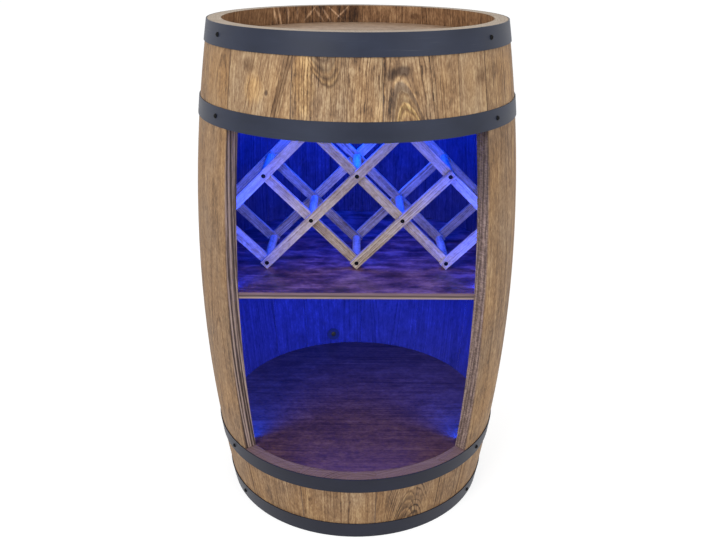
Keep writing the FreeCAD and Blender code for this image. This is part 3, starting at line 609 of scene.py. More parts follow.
# side, height, half width, half height, slant, tint and strength of each mark
STAVE_MARKS = {
    "top_stave_1": [(-0.004, 0.722, 0.020, 0.022, 0.0, LIGHTER, 0.9),
                    (-0.014, 0.753, 0.014, 0.012, 0.0, DARKER, 0.8),
                    (0.0178, 0.720, 0.0032, 0.0045, 0.0, CHARRED, 1.0),
                    (0.041, 0.730, 0.007, 0.060, 0.24, DARKER, 0.9),
                    (0.033, 0.715, 0.0025, 0.045, 0.24, DARKER, 0.6)],
    "top_stave_2": [(-0.043, 0.735, 0.018, 0.060, 0.0, YELLOWER, 1.0),
                    (0.0, 0.735, 0.035, 0.060, 0.0, GREYER, 0.6),
                    (-0.018, 0.752, 0.003, 0.030, -0.35, DARKER, 0.7),
                    (-0.006, 0.744, 0.012, 0.012, 0.0, DARKER, 0.5),
                    (0.055, 0.745, 0.009, 0.040, 0.0, GREYER, 0.8)],
    "top_stave_3": [(-0.057, 0.742, 0.0020, 0.036, 0.0, DARKER, 0.9),
                    (-0.051, 0.744, 0.0018, 0.030, 0.0, DARKER, 0.8),
                    (-0.054, 0.742, 0.0014, 0.036, 0.0, LIGHTER, 0.8),
                    (-0.044, 0.748, 0.008, 0.010, 0.0, CHARRED, 0.9),
                    (-0.029, 0.752, 0.013, 0.0085, 0.0, CHARRED, 1.0),
                    (0.042, 0.745, 0.006, 0.040, -0.3, DARKER, 0.35)],
    "top_stave_4": [(0.018, 0.738, 0.016, 0.013, 0.0, DARKER, 0.8)],
    "jamb_stave_left": [(0.0, 0.730, 0.090, 0.050, 0.0, LIGHTER, 0.6)],
    "jamb_stave_right": [(-0.028, 0.742, 0.024, 0.010, 0.0, DARKER, 0.5),
                         (0.0, 0.725, 0.090, 0.050, 0.0, LIGHTER, 0.6),
                         (0.0, 0.640, 0.060, 0.040, 0.0, DARKER, 0.35),
                         (0.0, 0.200, 0.090, 0.110, 0.0, LIGHTER, 0.4)],
    "bottom_stave_2": [(-0.046, 0.075, 0.004, 0.006, 0.0, DARKER, 0.9),
                       (-0.055, 0.045, 0.003, 0.008, 0.0, DARKER, 0.8)],
    "back_stave_left": [(0.026, 0.786, 0.0028, 0.020, 0.35, PALE_LINE, 1.0),
                        (0.017, 0.786, 0.0026, 0.020, 0.30, PALE_LINE, 1.0),
                        (0.000, 0.788, 0.0026, 0.018, 0.15, PALE_LINE, 0.9),
                        (-0.018, 0.788, 0.0020, 0.016, 0.10, PALE_LINE, 0.6)],
    "back_stave_middle": [(0.042, 0.787, 0.0026, 0.018, -0.9, PALE_LINE, 0.9),
                          (0.026, 0.786, 0.0028, 0.017, 0.75, PALE_LINE, 0.9),
                          (0.013, 0.786, 0.0028, 0.017, 0.70, PALE_LINE, 0.9),
                          (-0.003, 0.788, 0.0024, 0.012, 1.1, PALE_LINE, 1.0),
                          (-0.016, 0.788, 0.0024, 0.012, -1.0, PALE_LINE, 1.0),
                          (-0.034, 0.788, 0.012, 0.020, 0.0, DARKER, 0.9)],
    "back_stave_right": [(-0.040, 0.784, 0.010, 0.006, 0.0, DARKER, 0.9)],
    "side_stave_left_3": [(-0.010, 0.786, 0.020, 0.020, 0.0, DARKER, 0.3)],
}
print(f"{sum(len(marks) for marks in STAVE_MARKS.values())} marks on {len(STAVE_MARKS)} staves")

# %% Arches and swirls
# tints of a swirl from its first curve on
SWIRL = [(0.0, (0.95, 0.93, 0.90)), (0.05, (0.42, 0.38, 0.36)), (0.11, (1.2, 1.15, 1.0)),
         (0.18, (0.50, 0.46, 0.44)), (0.25, (1.05, 1.0, 0.9)), (0.33, (0.48, 0.45, 0.44)),
         (0.41, (0.80, 0.78, 0.76)), (0.50, (0.42, 0.39, 0.40)), (0.60, (0.95, 0.92, 0.88)),
         (1.0, (1.0, 1.0, 1.0))]
# side, height of the apex, curve, lean and reach of nested arches, and their tints from the apex on
STAVE_ARCHES = {
    "top_stave_2": [(-0.008, 0.730, 60.0, -0.25, 0.026, SWIRL, -1.0)],
    "top_stave_3": [(-0.034, 0.746, 95.0, -0.20, 0.030,
                     [(0.0, (1.35, 1.35, 1.25)), (0.05, (1.35, 1.35, 1.3)), (0.10, (0.62, 0.62, 0.68)),
                      (0.22, (0.58, 0.58, 0.62)), (0.34, (0.95, 0.93, 0.85)), (0.44, (0.60, 0.56, 0.52)),
                      (0.48, (1.4, 1.35, 1.05)), (0.53, (1.0, 1.0, 0.75)), (0.60, (0.58, 0.50, 0.42)),
                      (0.66, (1.25, 1.2, 0.95)), (0.74, (0.75, 0.65, 0.55)), (1.0, (0.95, 0.92, 0.85))])],
    "bottom_stave_3": [(0.000, 0.094, 120.0, 0.05, 0.030,
                        [(0.0, (1.0, 1.0, 1.0)), (0.06, (0.55, 0.52, 0.52)), (0.12, (1.2, 1.2, 1.1)),
                         (0.20, (0.75, 0.75, 0.75)), (0.30, (0.50, 0.47, 0.47)), (0.36, (1.35, 1.35, 1.25)),
                         (0.44, (0.80, 0.80, 0.80)), (0.56, (0.48, 0.45, 0.45)), (0.62, (1.4, 1.4, 1.3)),
                         (0.70, (0.75, 0.72, 0.70)), (0.85, (0.50, 0.47, 0.47)), (0.92, (1.3, 1.3, 1.2)),
                         (1.0, (0.8, 0.8, 0.8))])],
}
print(f"arches on {', '.join(STAVE_ARCHES)}")

# %% Saw every stave
random.seed(7)
STAVE_NAMES = sorted(name for name in nodes if "stave" in name)
for name in STAVE_NAMES:
    board = board_style(pith_side=random.uniform(-0.11, 0.11), pith_depth=random.uniform(0.03, 0.08),
                        pith_at=random.uniform(0.2, 0.6), lean=random.uniform(-0.04, 0.04),
                        drift=random.uniform(-0.03, 0.03), wander=random.uniform(0.006, 0.012),
                        ring=random.uniform(0.0036, 0.0052), tone=random.uniform(0.48, 0.54),
                        seed=random.uniform(0.0, 9.0), streak=0.65, fibre=0.6, line=0.38, plain=0.3,
                        cloud=0.75, mottle=0.45)
    if name.startswith(("top_", "bottom_")):
        board.update(streak=0.75, line=0.45)
    board.update(CHOSEN_BOARDS.get(name, {}))
    stave_material(name, board, STAVE_MARKS.get(name, ()), STAVE_FIGURES.get(name, ()),
                   STAVE_ARCHES.get(name, ()))
print(f"{len(STAVE_NAMES)} staves sawn")

# %% [markdown]
# ## Heads, shelf, floor, cleats and rack
# These are flat boards, so the same wood recipe only needs the board's own directions: its length, its
# width and its thickness. The heads are stained like the barrel, the shelf and the floor are varnished a
# redder brown, with painted blue LED light in the shelf's colours, and the rack strips were left bare.

# %% Flat boards
QUARTER = math.pi / 2
ALONG_X = (0.0, QUARTER, 0.0)
ALONG_Y = (QUARTER, 0.0, 0.0)
# planed boards: what growth lines add to the roughness, and what lines and fibres add to the relief
PLANED_LINE_ROUGH, PLANED_RELIEF = 0.08, 0.6


def board_material(name, turn, board, stops, rough=0.5, shine=0.4, relief=0.4, centre=(0.0, 0.0, 0.0)):
    """Wood of a flat board whose length runs along the turned Z axis; stops are its colours."""
    material, tree, shader = new_material(name)
    tone, lines, fibre = sawn_wood(tree, local_place(tree, centre, turn), board)
    roughness = calc(tree, "MULTIPLY_ADD", lines, PLANED_LINE_ROUGH, rough - FIBRE_ROUGH / 2)
    roughness = calc(tree, "MULTIPLY_ADD", fibre, FIBRE_ROUGH, roughness)
    height = calc(tree, "MULTIPLY_ADD", lines, PLANED_RELIEF, calc(tree, "MULTIPLY", fibre, PLANED_RELIEF))
    finish_surface(tree, shader, ramp(tree, tone, stops), roughness, height, strength=relief, distance=0.0005,
                   shine=shine)
    return material


def face_centre(name):
    """The middle of a board's upper face."""
    low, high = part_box(name)
    return ((low.x + high.x) / 2, (low.y + high.y) / 2, high.z)


print("recipe for flat boards ready")

# %% Heads, floor, cleats and bars
HEAD_TONES = [(0.0, (0.10, 0.055, 0.03)), (0.35, (0.225, 0.14, 0.085)), (0.62, (0.35, 0.235, 0.155)),
              (1.0, (0.55, 0.40, 0.28))]
FLOOR_TONES = [(0.0, (0.030, 0.013, 0.009)), (0.35, (0.075, 0.034, 0.022)), (0.62, (0.130, 0.062, 0.040)),
               (1.0, (0.22, 0.12, 0.08))]
RACK_TONES = [(0.0, (0.17, 0.11, 0.065)), (0.35, (0.36, 0.27, 0.175)), (0.62, (0.50, 0.405, 0.285)),
              (1.0, (0.66, 0.57, 0.43))]
HEAD_BOARDS = sorted(name for name in nodes if "_head_" in name)
for number, name in enumerate(HEAD_BOARDS):
    style = board_style(pith_side=0.05 - 0.03 * (number % 3), pith_depth=0.045, pith_at=0.1, lean=0.03,
                        seed=2.0 + number)
    dress(name, board_material(f"{name}_wood", ALONG_X, style, HEAD_TONES, centre=face_centre(name)))
VARNISHED = {"rough": 0.32, "shine": 0.5, "relief": 0.25}
WIDE_RINGS = {"pith_side": -0.1, "pith_depth": 0.12, "lean": 0.02, "ring": 0.006, "line": 0.3}
floor_style = board_style(**WIDE_RINGS, seed=1.3, tone=0.55)
floor_wood = board_material("floor_board_wood", ALONG_X, floor_style, FLOOR_TONES, **VARNISHED,
                            centre=(0.0, axis_y, floor_high.z))
dress("floor_board", floor_wood)
dress("panel_cleats", board_material("cleat_wood", ALONG_X, board_style(seed=5.0, ring=0.004), RACK_TONES,
                                     rough=0.6))
dress("rack_bars", board_material("rack_bar_wood", ALONG_Y, board_style(seed=6.0, ring=0.003), RACK_TONES,
                                  rough=0.6))
print(f"{len(HEAD_BOARDS)} head boards, floor, cleats and bars sawn")

# %% [markdown]
# The shelf is a board of three plies. Its middle ply runs the other way, so the edge shows end grain
# between two pale stripes, and end grain drinks more stain. The colour of an edge therefore goes by the
# share of the thickness that lies below a point, and the varnished face only shows where the surface looks
# up or down.

# %% Shelf
# varnished face of the shelf, from dark to light: a redder brown with painted blue LED light in it
SHELF_TONES_WITH_LED_BLUE = [(0.0, (0.022, 0.009, 0.016)), (0.35, (0.070, 0.030, 0.046)), (0.62, (0.135, 0.060, 0.082)),
               (1.0, (0.27, 0.14, 0.16))]
# the purple of the upper plies is painted blue LED light
PLY_TONES_WITH_LED_BLUE = [(0.0, (0.36, 0.26, 0.22)), (0.26, (0.40, 0.30, 0.27)), (0.34, (0.075, 0.045, 0.050)),
             (0.56, (0.085, 0.050, 0.060)), (0.66, (0.22, 0.14, 0.17)), (1.0, (0.20, 0.12, 0.16))]
# tint of the grain in the edge, its lumps per metre, and the noise where it begins and is full
PLY_GRAIN, PLY_LUMPS, PLY_RANGE = (0.72, 0.68, 0.66), (30.0, 30.0, 900.0), (0.3, 0.7)
# upright part of the normal at which the plies start to show and show alone
PLIES_BEGIN, PLIES_ALONE = 0.7, 0.4


def ply_board(name, style, stops):
    """Varnished face on three plies, which show at the edge."""
    low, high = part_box(name)
    centre = (0.0, (low.y + high.y) / 2, high.z)
    material = board_material(f"{name}_wood", ALONG_X, style, stops, centre=centre, **VARNISHED)
    tree = material.node_tree
    shader = tree.nodes["Principled BSDF"]
    face_colour = shader.inputs["Base Color"].links[0].from_socket
    height = split_xyz(tree, object_place(tree))[2]
    share = calc(tree, "DIVIDE", calc(tree, "SUBTRACT", height, low.z), high.z - low.z)
    grain = smooth(tree, noise(tree, object_place(tree), PLY_LUMPS, detail=3.0), *PLY_RANGE)
    plies = tinted(tree, ramp(tree, share, PLY_TONES_WITH_LED_BLUE), PLY_GRAIN, grain)
    upright = calc(tree, "ABSOLUTE", split_xyz(tree, object_normal(tree))[2])
    colour = mix(tree, smooth(tree, upright, PLIES_BEGIN, PLIES_ALONE), face_colour, plies)
    tree.links.new(colour, shader.inputs["Base Color"])
    return material


shelf_style = board_style(**WIDE_RINGS, seed=3.1, tone=0.57, cloud=2.6)
dress("middle_shelf", ply_board("middle_shelf", shelf_style, SHELF_TONES_WITH_LED_BLUE))
print("shelf edge shows its plies")

# %% [markdown]
# Every strip of the rack is a planed stick of its own, so each gets its own numbers and its own lean: its
# grain has to run along the stick, and the two directions of the lattice lean to opposite sides. The
# falling strips lie on the inner side of each lattice, in the shadow of the rising ones, and are drawn a
# little darker: painted shade.

# %% Rack strips
strip_low, strip_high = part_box("rack_front_rising_long")
strip_angle = math.atan2(strip_high.z - strip_low.z, strip_high.x - strip_low.x)
# tone taken off the falling strips: painted shade from the rising strips in front of them
FALLING_PAINTED_SHADE = 0.10
RACK_STRIPS = sorted(name for name in nodes if name.startswith(("rack_front", "rack_back")))
for number, name in enumerate(RACK_STRIPS):
    lean_over = (QUARTER - strip_angle) * (1 if "rising" in name else -1)
    low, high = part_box(name)
    darker = FALLING_PAINTED_SHADE if "falling" in name else 0.0
    style = board_style(pith_side=random.uniform(-0.03, 0.03), pith_depth=random.uniform(0.01, 0.04),
                        lean=random.uniform(-0.05, 0.05), ring=0.0028, line=0.45, wander=0.003, streak=0.9,
                        tone=random.uniform(0.54, 0.66) - darker, seed=number * 0.7)
    dress(name, board_material(f"{name}_wood", (0.0, lean_over, 0.0), style, RACK_TONES, rough=0.62,
                               shine=0.3, centre=tuple((low + high) / 2)))
print(f"{len(RACK_STRIPS)} rack strips at {math.degrees(strip_angle):.1f} degrees")

# %% [markdown]
# ## Hoops
# The hoops are flat steel strip, rolled round and painted with a satin blue-black paint. Paint on strip
# steel is never flat: it has a slight orange peel, a faint cloudiness, and long rubs from handling where
# some paint has gone.

# %% Painted steel
# how much the cloudiness of the paint changes its roughness, and by how much a rubbed place is smoother
CLOUD_ROUGH, RUBBED_SMOOTHER = 0.16, 0.1
# how far the cloudiness takes the colour to either side of its base
CLOUD_SPREAD = 0.18
# lumps per metre of the cloudiness, of the long rubs and of the orange peel
CLOUD_LUMPS, RUB_LUMPS, PEEL_LUMPS = (14.0, 14.0, 30.0), (12.0, 12.0, 900.0), (700.0, 700.0, 700.0)
# noise at which a rub begins and is full, and cloudiness at which rubs begin to show and show fully
RUB_RANGE, RUBBED_RANGE = (0.60, 0.72), (0.45, 0.65)


def shades(base, spread):
    """A colour a little darker and a little lighter than itself, for a soft noise."""
    darker, lighter = (tuple(part * factor for part in base) for factor in (1 - spread, 1 + spread))
    return [(0.3, darker), (0.7, lighter)]


def painted_steel(name, base, worn, rough=0.42, wear=0.5, shine=0.5):
    """Satin paint of a base colour, rubbed to a worn one in places; wear says how far."""
    material, tree, shader = new_material(name)
    place = object_place(tree)
    cloud = noise(tree, place, CLOUD_LUMPS, detail=3.0)
    rubs = noise(tree, place, RUB_LUMPS, detail=3.0, roughness=0.7)
    rubbed = calc(tree, "MULTIPLY", smooth(tree, rubs, *RUB_RANGE), smooth(tree, cloud, *RUBBED_RANGE))
    unworn = ramp(tree, cloud, shades(base, CLOUD_SPREAD))
    colour = mix(tree, calc(tree, "MULTIPLY", rubbed, wear), unworn, worn)
    roughness = calc(tree, "MULTIPLY_ADD", rubbed, -RUBBED_SMOOTHER, rough - CLOUD_ROUGH / 2)
    roughness = calc(tree, "MULTIPLY_ADD", cloud, CLOUD_ROUGH, roughness)
    peel = noise(tree, place, PEEL_LUMPS)
    finish_surface(tree, shader, colour, roughness, peel, strength=0.12, distance=0.0003, shine=shine)
    return material


# one paint drawn as two copies set by how light falls: the upper hoops' copy is lighter, painted light, and
# the lower hoops' copy darker, painted shade
lit_hoop_paint = painted_steel("upper_hoop_lit_paint", (0.022, 0.028, 0.051), (0.07, 0.08, 0.10), rough=0.46,
                            shine=0.25)
shaded_hoop_paint = painted_steel("lower_hoop_shaded_paint", (0.015, 0.017, 0.031), (0.06, 0.07, 0.09), rough=0.46,
                            shine=0.22)
HOOP_PAINTS = {"upper_hoop": lit_hoop_paint, "top_hoop": lit_hoop_paint, "bottom_hoop": shaded_hoop_paint,
               "lower_hoop": shaded_hoop_paint}
for name, paint in HOOP_PAINTS.items():
    dress(name, paint)
dress("hoop_rivets", painted_steel("rivet_paint", (0.035, 0.04, 0.055), (0.18, 0.18, 0.19), rough=0.38))
screw_black = painted_steel("screw_black", (0.0035, 0.0035, 0.004), (0.03, 0.03, 0.03), rough=0.5, wear=0.2,
                            shine=0.12)
print(f"{len(HOOP_PAINTS)} hoops and their rivets painted")

# %% [markdown]
# ## Screws
# The hoops are held by black pan head screws, the rack and the cleats by flat countersunk ones, all with a
# cross recess. One of each is shaped: the cross is drawn first, a ring is bridged round it, and
# that ring is then grown outwards and down, into a dome or into a cone, and on into the shank. The finished
# screw is copied to every place where the imported model has one.

# %% Shape one screw
# steps from the ring round the recess down to the shank:
# scale of the ring, and drop as a share of the head's height
DOME = ((1.34, 0.17), (1.17, 0.27), (1.06, 0.30), (1.0, 0.16), (0.56, 0.0))
FLAT = ((1.62, 0.0), (1.03, 0.06), (0.5, 0.94))
# shares of the head's radius: arm and half width of the cross, and the ring round it
CROSS_ARM, CROSS_HALF, CROWN = 0.48, 0.12, 0.6
SCREW_SIDES = 24
# shares of the head's height: how far a dome's ring lies below its middle, and how deep the recess is
DOME_FALL, RECESS_DEPTH = 0.10, 0.55
# size of the recess' floor and of the tip as shares of what is above them, and the tapered share of the shank
RECESS_FLOOR, TIP_SIZE, TIP_SHARE = 0.55, 0.1, 0.2


def grow(made, edges, size, drop):
    """Extrudes a ring of edges, scales the new ring about the screw's axis and lowers it."""
    fresh = bmesh.ops.extrude_edge_only(made, edges=edges)["geom"]
    ring_points = [item for item in fresh if isinstance(item, bmesh.types.BMVert)]
    bmesh.ops.scale(made, vec=(size, size, 1.0), verts=ring_points)
    bmesh.ops.translate(made, vec=(0.0, 0.0, -drop), verts=ring_points)
    return [item for item in fresh if isinstance(item, bmesh.types.BMEdge)
            and all(v in ring_points for v in item.verts)]


def draw_cross(made, arm, half):
    """Draws the outline of the cross recess and returns its edges."""
    outline = []
    for quarter in range(4):
        turn = Matrix.Rotation(quarter * QUARTER, 3, "Z")
        outline += [made.verts.new(turn @ Vector(corner)) for corner in
                    ((arm, -half, 0.0), (arm, half, 0.0), (half, half, 0.0))]
    cross = made.faces.new(outline)
    edges = list(cross.edges)
    bmesh.ops.delete(made, geom=[cross], context="FACES_ONLY")
    return edges


def shape_screw(profile, head_radius, head_height, length):
    """A screw with a cross recess; its head's top is at the origin and it points down."""
    made = bmesh.new()
    cross_edges = draw_cross(made, CROSS_ARM * head_radius, CROSS_HALF * head_radius)
    crown = bmesh.ops.create_circle(made, cap_ends=False, segments=SCREW_SIDES,
                                    radius=CROWN * head_radius)["verts"]
    if profile is DOME:
        bmesh.ops.translate(made, vec=(0.0, 0.0, -DOME_FALL * head_height), verts=crown)
    ring = list({edge for vert in crown for edge in vert.link_edges})
    bmesh.ops.bridge_loops(made, edges=cross_edges + ring)
    for size, drop in profile:
        ring = grow(made, ring, size, drop * head_height)
    ring = grow(made, ring, 1.0, length * (1 - TIP_SHARE))
    tip = grow(made, ring, TIP_SIZE, length * TIP_SHARE)
    bmesh.ops.contextual_create(made, geom=tip)
    recess = grow(made, cross_edges, RECESS_FLOOR, RECESS_DEPTH * head_height)
    bmesh.ops.contextual_create(made, geom=recess)
    bmesh.ops.recalc_face_normals(made, faces=made.faces)
    mesh = bpy.data.meshes.new("one_screw")
    made.to_mesh(mesh)
    made.free()
    return mesh


print(f"a dome takes {len(DOME)} steps, a flat head {len(FLAT)}")

# %% [markdown]
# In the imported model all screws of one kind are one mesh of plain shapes. Each connected piece of that mesh
# is one screw: the point farthest from its middle is its tip, so the way from there to the middle is the
# way it looks.

# %% Find every screw of a node
# corners this close are one corner, and points this close to the farthest one belong to the tip
WELD, TIP_FLAT = 0.00001, 0.0002


def loose_parts(name):
    """The separate pieces of a node, each as a list of points."""
    made = bmesh.new()
    made.from_mesh(nodes[name].data)
    bmesh.ops.remove_doubles(made, verts=made.verts, dist=WELD)
    waiting = set(made.verts)
    parts = []
    while waiting:
        reached = [waiting.pop()]
        part = []
        while reached:
            vert = reached.pop()
            part.append(vert.co.copy())
            beside = {edge.other_vert(vert) for edge in vert.link_edges} & waiting
            waiting -= beside
            reached += beside
        parts.append(part)
    made.free()
    return parts


def screw_pose(points):
    """Where a screw's head ends, which way it looks, and its head's radius and its whole length."""
    middle = sum(points, Vector()) / len(points)
    farthest = max((p - middle).length for p in points)
    tip_points = [p for p in points if (p - middle).length > farthest - TIP_FLAT]
    tip = sum(tip_points, Vector()) / len(tip_points)
    outwards = (middle - tip).normalized()
    reach = max((p - tip).dot(outwards) for p in points)
    head_radius = max(((p - tip) - outwards * (p - tip).dot(outwards)).length for p in points)
    return tip + outwards * reach, outwards, head_radius, reach


print("screws can be found")

# %% Put a shaped screw in every place
# height of a domed and of a flat head as shares of their radius, and the bend from which an edge stays sharp
DOME_HEIGHT, FLAT_HEIGHT = 0.70, 0.76
SHARP_FROM = math.radians(40.0)


def place_screws(name, profile, head_share):
    """Replaces a node of plain screws by shaped ones, each driven to an angle of its own."""
    poses = [screw_pose(points) for points in loose_parts(name)]
    head_radius, reach = poses[0][2:]
    head_height = head_share * head_radius
    one = shape_screw(profile, head_radius, head_height, reach - head_height)
    made = bmesh.new()
    for top, outwards, *_ in poses:
        stand = outwards.to_track_quat("Z", "Y").to_matrix().to_4x4()
        driven = Matrix.Rotation(random.uniform(0.0, QUARTER), 4, "Z")
        one_turned = one.copy()
        one_turned.transform(Matrix.Translation(top) @ stand @ driven)
        made.from_mesh(one_turned)
    mesh = bpy.data.meshes.new(f"{name}_shaped")
    made.to_mesh(mesh)
    made.free()
    mesh.polygons.foreach_set("use_smooth", [True] * len(mesh.polygons))
    mesh.set_sharp_from_angle(angle=SHARP_FROM)
    piece = bpy.data.objects.new(f"{name}_shaped", mesh)
    bpy.context.scene.collection.objects.link(piece)
    mesh.materials.append(screw_black)
    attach(piece, "root")
    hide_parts(name)
    print(f"{name}: {len(poses)} screws, head {2000 * head_radius:.1f} mm, length {1000 * reach:.1f} mm")


place_screws("hoop_screws", DOME, DOME_HEIGHT)
place_screws("rack_screws", FLAT, FLAT_HEIGHT)
place_screws("cleat_screws", FLAT, FLAT_HEIGHT)

# %% [markdown]
# ## LED strips and their supply
# The strips sit behind the jambs and over the opening, where the eye doesn't meet them: one sees their
# light, not the strips. A blue LED is almost one pure colour. What looks cyan beside a strip is the same
# blue, only so bright that the eye (or a camera) can't take more of it, so the colour here keeps a trace of
# green and the strength does the rest.

# %% Light-emitting chips and sleeves
LED_BLUE = (0.0, 0.045, 1.0)
CHIP_STRENGTH = 30.0
SLEEVE_STRENGTH = 6.0
# lumps per metre of the frosting, and its darkest shade as a share of the base colour
FROST_LUMPS, FROST_SHADE = (400.0, 400.0, 400.0), 0.9


def glowing(name, base, strength, rough):
    """Frosted plastic that glows LED blue."""
    material, tree, shader = new_material(name)
    frosted = noise(tree, object_place(tree), FROST_LUMPS)
    shade = ramp(tree, frosted, [(0.3, tuple(part * FROST_SHADE for part in base)), (0.7, base)])
    tree.links.new(shade, shader.inputs["Base Color"])
    shader.inputs["Roughness"].default_value = rough
    shader.inputs["Emission Color"].default_value = (*LED_BLUE, 1.0)
    shader.inputs["Emission Strength"].default_value = strength
    return material


dress("led_chips", glowing("led_chip_glow", (0.8, 0.8, 0.6), CHIP_STRENGTH, rough=0.3))
sleeve_glow = glowing("led_sleeve_glow", (0.75, 0.78, 0.8), SLEEVE_STRENGTH, rough=0.45)
LED_STRIPS = ("led_strip_left", "led_strip_right", "led_strip_top")
for name in LED_STRIPS:
    dress(name, sleeve_glow)
print(f"{len(LED_STRIPS)} LED strips lit")

# %% [markdown]
# A chip throws most of its light straight ahead in a cone, and a glowing surface in Blender throws it
# everywhere. So the surfaces only glow a little, and slim lamps with a narrowed spread, laid along the
# strips, carry the beam to the back of the cabinet. The front of the rack then keeps its wood colour in the
# middle and turns blue at the sides. One soft lamp under the top head and one under the shelf stand in for
# the light that full bottles would scatter.

# %% Beams of the strips
# opening of a lamp's cone, its width, its depth below the outside of the wall, and its gap to the shelf
BEAM_SPREAD = math.radians(140.0)
BEAM_WIDTH = 0.008
STRIP_DEPTH = 0.0265
SHELF_GAP = 0.005
LOWER_WATTS_PER_METRE = 8.0
UPPER_WATTS_PER_METRE = 1.5
TO_THE_BACK = Vector((0.0, 1.0, 0.0))


def area_lamp(name, size, watts, pose, **settings):
    """A rectangular lamp that shines along -Z of its pose; size is its width and length."""
    lamp = bpy.data.lights.new(name, "AREA")
    lamp.shape = "RECTANGLE"
    lamp.size, lamp.size_y = size
    lamp.energy = watts
    for key, value in settings.items():
        setattr(lamp, key, value)
    holder = bpy.data.objects.new(name, lamp)
    holder.matrix_world = pose
    bpy.context.scene.collection.objects.link(holder)
    return holder


def beam(name, first, last, watts, aim=TO_THE_BACK):
    """A slim blue lamp from one point to another that shines towards aim."""
    along = (last - first).normalized()
    back = (along * along.dot(aim) - aim).normalized()
    turned = Matrix((along.cross(back), along, back)).transposed()
    pose = Matrix.Translation((first + last) / 2) @ turned.to_4x4()
    holder = area_lamp(name, (BEAM_WIDTH, (last - first).length), watts, pose, color=LED_BLUE,
                       spread=BEAM_SPREAD)
    holder.visible_camera = False


def strip_point(angle, height):
    """Where a side strip lies at a height; it follows the bow of the wall."""
    outer = belly_radius - bow_radius + math.sqrt(bow_radius ** 2 - (height - belly_height) ** 2)
    radius = outer - STRIP_DEPTH
    return Vector((radius * math.sin(angle), axis_y - radius * math.cos(angle), height))


shelf_low, shelf_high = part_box("middle_shelf")
for side in ("left", "right"):
    angle = wall_angles(f"led_strip_{side}")[0]
    strip_low, strip_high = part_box(f"led_strip_{side}")
    for part, low, high, watts in (("low", strip_low.z, shelf_low.z - SHELF_GAP, LOWER_WATTS_PER_METRE),
                                   ("high", shelf_high.z + SHELF_GAP, strip_high.z, UPPER_WATTS_PER_METRE)):
        beam(f"beam_{side}_{part}", strip_point(angle, low), strip_point(angle, high), watts * (high - low))
print("side beams laid along the strips")

# %% Top beam and scattered light
TOP_WATTS = 0.5
# half the top lamp's length, its distance behind the front of its strip, and where it aims
TOP_HALF_LENGTH, TOP_SETBACK = 0.13, 0.02
BACK_AND_UP = Vector((0.0, 1.0, 0.25))
DOWN_AND_BACK = (0.0, 0.3, -1.0)
UPPER_SCATTER_WATTS = 4.5
LOWER_SCATTER_WATTS = 0.6

top_low, top_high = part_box("led_strip_top")
top_ends = [Vector((side * TOP_HALF_LENGTH, top_low.y + TOP_SETBACK, (top_low.z + top_high.z) / 2))
            for side in (-1, 1)]
beam("beam_top", *top_ends, TOP_WATTS, BACK_AND_UP)


def looking(place, direction):
    """Pose of a lamp at a place that shines in a direction."""
    return Matrix.Translation(place) @ Vector(direction).to_track_quat("-Z", "Y").to_matrix().to_4x4()


def scatter(name, place, size, watts):
    """A soft blue lamp that looks down and a little to the back."""
    holder = area_lamp(name, size, watts, looking(place, DOWN_AND_BACK), color=LED_BLUE)
    holder.visible_camera = False


scatter("upper_scatter", place=(0.0, 0.03, 0.715), size=(0.24, 0.14), watts=UPPER_SCATTER_WATTS)
scatter("lower_scatter", place=(0.0, 0.05, shelf_low.z - 0.030), size=(0.26, 0.14), watts=LOWER_SCATTER_WATTS)
print("top beam and scattered light laid")

# %% [markdown]
# The feed lead and the control box are moulded plastic and the grommet is rubber. Moulds for such parts are
# often spark eroded, which gives the plastic a fine even grain, and its gloss is never quite the same all
# over.

# %% Lead, control box and grommet
# lumps per metre of the uneven shade, and how far it goes to either side of the base colour
SHADE_LUMPS, SHADE_SPREAD = (60.0, 60.0, 60.0), 0.15
# what the grain adds to the roughness, and what is taken off first
GRAIN_ROUGH, ROUGH_OFF = 0.15, 0.07


def moulded(name, base, rough, grain_size, relief):
    """Moulded plastic or rubber, with a fine grain and slightly uneven colour."""
    material, tree, shader = new_material(name)
    place = object_place(tree)
    grain = noise(tree, place, (1 / grain_size,) * 3)
    colour = ramp(tree, noise(tree, place, SHADE_LUMPS), shades(base, SHADE_SPREAD))
    roughness = calc(tree, "MULTIPLY_ADD", grain, GRAIN_ROUGH, rough - ROUGH_OFF)
    finish_surface(tree, shader, colour, roughness, grain, relief, distance=0.0002)
    return material


dress("led_feed_lead", moulded("lead_sleeve", (0.62, 0.62, 0.6), rough=0.45, grain_size=0.0008, relief=0.15))
dress("led_control_box", moulded("control_plastic", (0.03, 0.03, 0.032), rough=0.5, grain_size=0.0006,
                                 relief=0.3))
dress("supply_grommet", moulded("grommet_rubber", (0.022, 0.022, 0.022), rough=0.7, grain_size=0.0009,
                                relief=0.35))
print("electrical parts finished")

# %% [markdown]
# ## Stage, light and camera
# The cabinet stands on a plain pale floor under an even white sky, with one broad soft lamp at either side,
# so that colours come out about as they were mixed. The floor is drawn nearly white for the camera but it
# still takes the object's shadow.

# %% Floor
FLOOR_REACH = 30.0
# colour of the floor, and the glow that lifts it to nearly white where it is seen
PAPER, WHITE = (0.42, 0.42, 0.42, 1.0), (1.0, 1.0, 1.0, 1.0)
FLOOR_GLOW = 0.73


def seen_directly(tree):
    """1 for rays that show the stage itself, straight, in a mirror or through glass; 0 for soft light."""
    path = tree.nodes.new("ShaderNodeLightPath")
    seen = calc(tree, "ADD", path.outputs["Is Camera Ray"], path.outputs["Is Glossy Ray"], clamp=True)
    return calc(tree, "ADD", seen, path.outputs["Is Transmission Ray"], clamp=True)


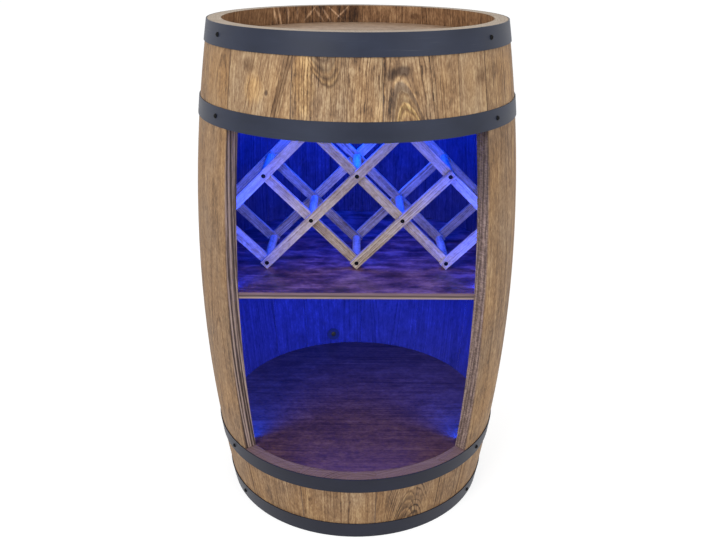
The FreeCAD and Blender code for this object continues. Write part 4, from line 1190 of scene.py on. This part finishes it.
def make_floor():
    """A pale floor that glows only for what looks at it, so it stays pale and still takes shadows."""
    made = bmesh.new()
    bmesh.ops.create_grid(made, x_segments=2, y_segments=2, size=FLOOR_REACH)
    mesh = bpy.data.meshes.new("studio_floor")
    made.to_mesh(mesh)
    made.free()
    floor = bpy.data.objects.new("studio_floor", mesh)
    bpy.context.scene.collection.objects.link(floor)
    material, tree, shader = new_material("studio_floor")
    tree.nodes.remove(shader)
    paper = add(tree, "ShaderNodeBsdfDiffuse", {"Color": PAPER})
    glow = add(tree, "ShaderNodeEmission", {"Color": WHITE, "Strength": FLOOR_GLOW})
    drawn = add(tree, "ShaderNodeAddShader", {0: paper, 1: glow})
    both = add(tree, "ShaderNodeMixShader", {0: seen_directly(tree), 1: paper, 2: drawn})
    tree.links.new(both, tree.nodes["Material Output"].inputs["Surface"])
    mesh.materials.append(material)


make_floor()
print(f"floor reaches {FLOOR_REACH:.0f} m each way")

# %% Sky and lamps
SKY_STRENGTH = 0.72
CABINET_MIDDLE = Vector((0.0, 0.0, 0.45))
SOFTBOX_SIDE = 1.6


def make_sky():
    """An even sky: white where it is seen, and a little weaker as a light."""
    world = bpy.data.worlds.new("studio_sky")
    world.use_nodes = True
    tree = world.node_tree
    tree.nodes.clear()
    sky = add(tree, "ShaderNodeBackground", {"Color": WHITE, "Strength": SKY_STRENGTH})
    white = add(tree, "ShaderNodeBackground", {"Color": WHITE, "Strength": 1.0})
    both = add(tree, "ShaderNodeMixShader", {0: seen_directly(tree), 1: sky, 2: white})
    output = tree.nodes.new("ShaderNodeOutputWorld")
    tree.links.new(both, output.inputs["Surface"])
    bpy.context.scene.world = world


def softbox(name, place, watts):
    """A square white lamp that looks at the cabinet."""
    area_lamp(name, (SOFTBOX_SIDE, SOFTBOX_SIDE), watts, looking(place, CABINET_MIDDLE - Vector(place)))


make_sky()
softbox("key_softbox", place=(-1.4, -2.2, 1.9), watts=34.0)
softbox("fill_softbox", place=(1.9, -1.8, 1.3), watts=14.0)
print("sky and lamps ready")

# %% [markdown]
# The camera stands close, a little above the cabinet, and looks down, so the top rim shows as an open
# ellipse and the verticals run together towards the floor. Its small shift and roll set the frame.

# %% Camera
CAMERA_PLACE = (0.0, -1.2972, 0.911)
LOOK_DOWN = math.radians(23.58)
CAMERA_ROLL = 0.0054
SENSOR_WIDTH = 36.0
LENS = 40.67
SHIFT_X, SHIFT_Y = 0.0023, 0.0268

camera_data = bpy.data.cameras.new("camera")
camera_data.sensor_width = SENSOR_WIDTH
camera_data.lens = LENS
camera_data.shift_x = SHIFT_X
camera_data.shift_y = SHIFT_Y
camera = bpy.data.objects.new("camera", camera_data)
camera.matrix_world = (Matrix.Translation(CAMERA_PLACE) @ Matrix.Rotation(QUARTER - LOOK_DOWN, 4, "X")
                       @ Matrix.Rotation(CAMERA_ROLL, 4, "Z"))
bpy.context.scene.collection.objects.link(camera)
bpy.context.scene.camera = camera
bpy.context.scene.view_settings.view_transform = "Standard"
print("camera ready")

# %% Finish
bpy.context.view_layer.update()
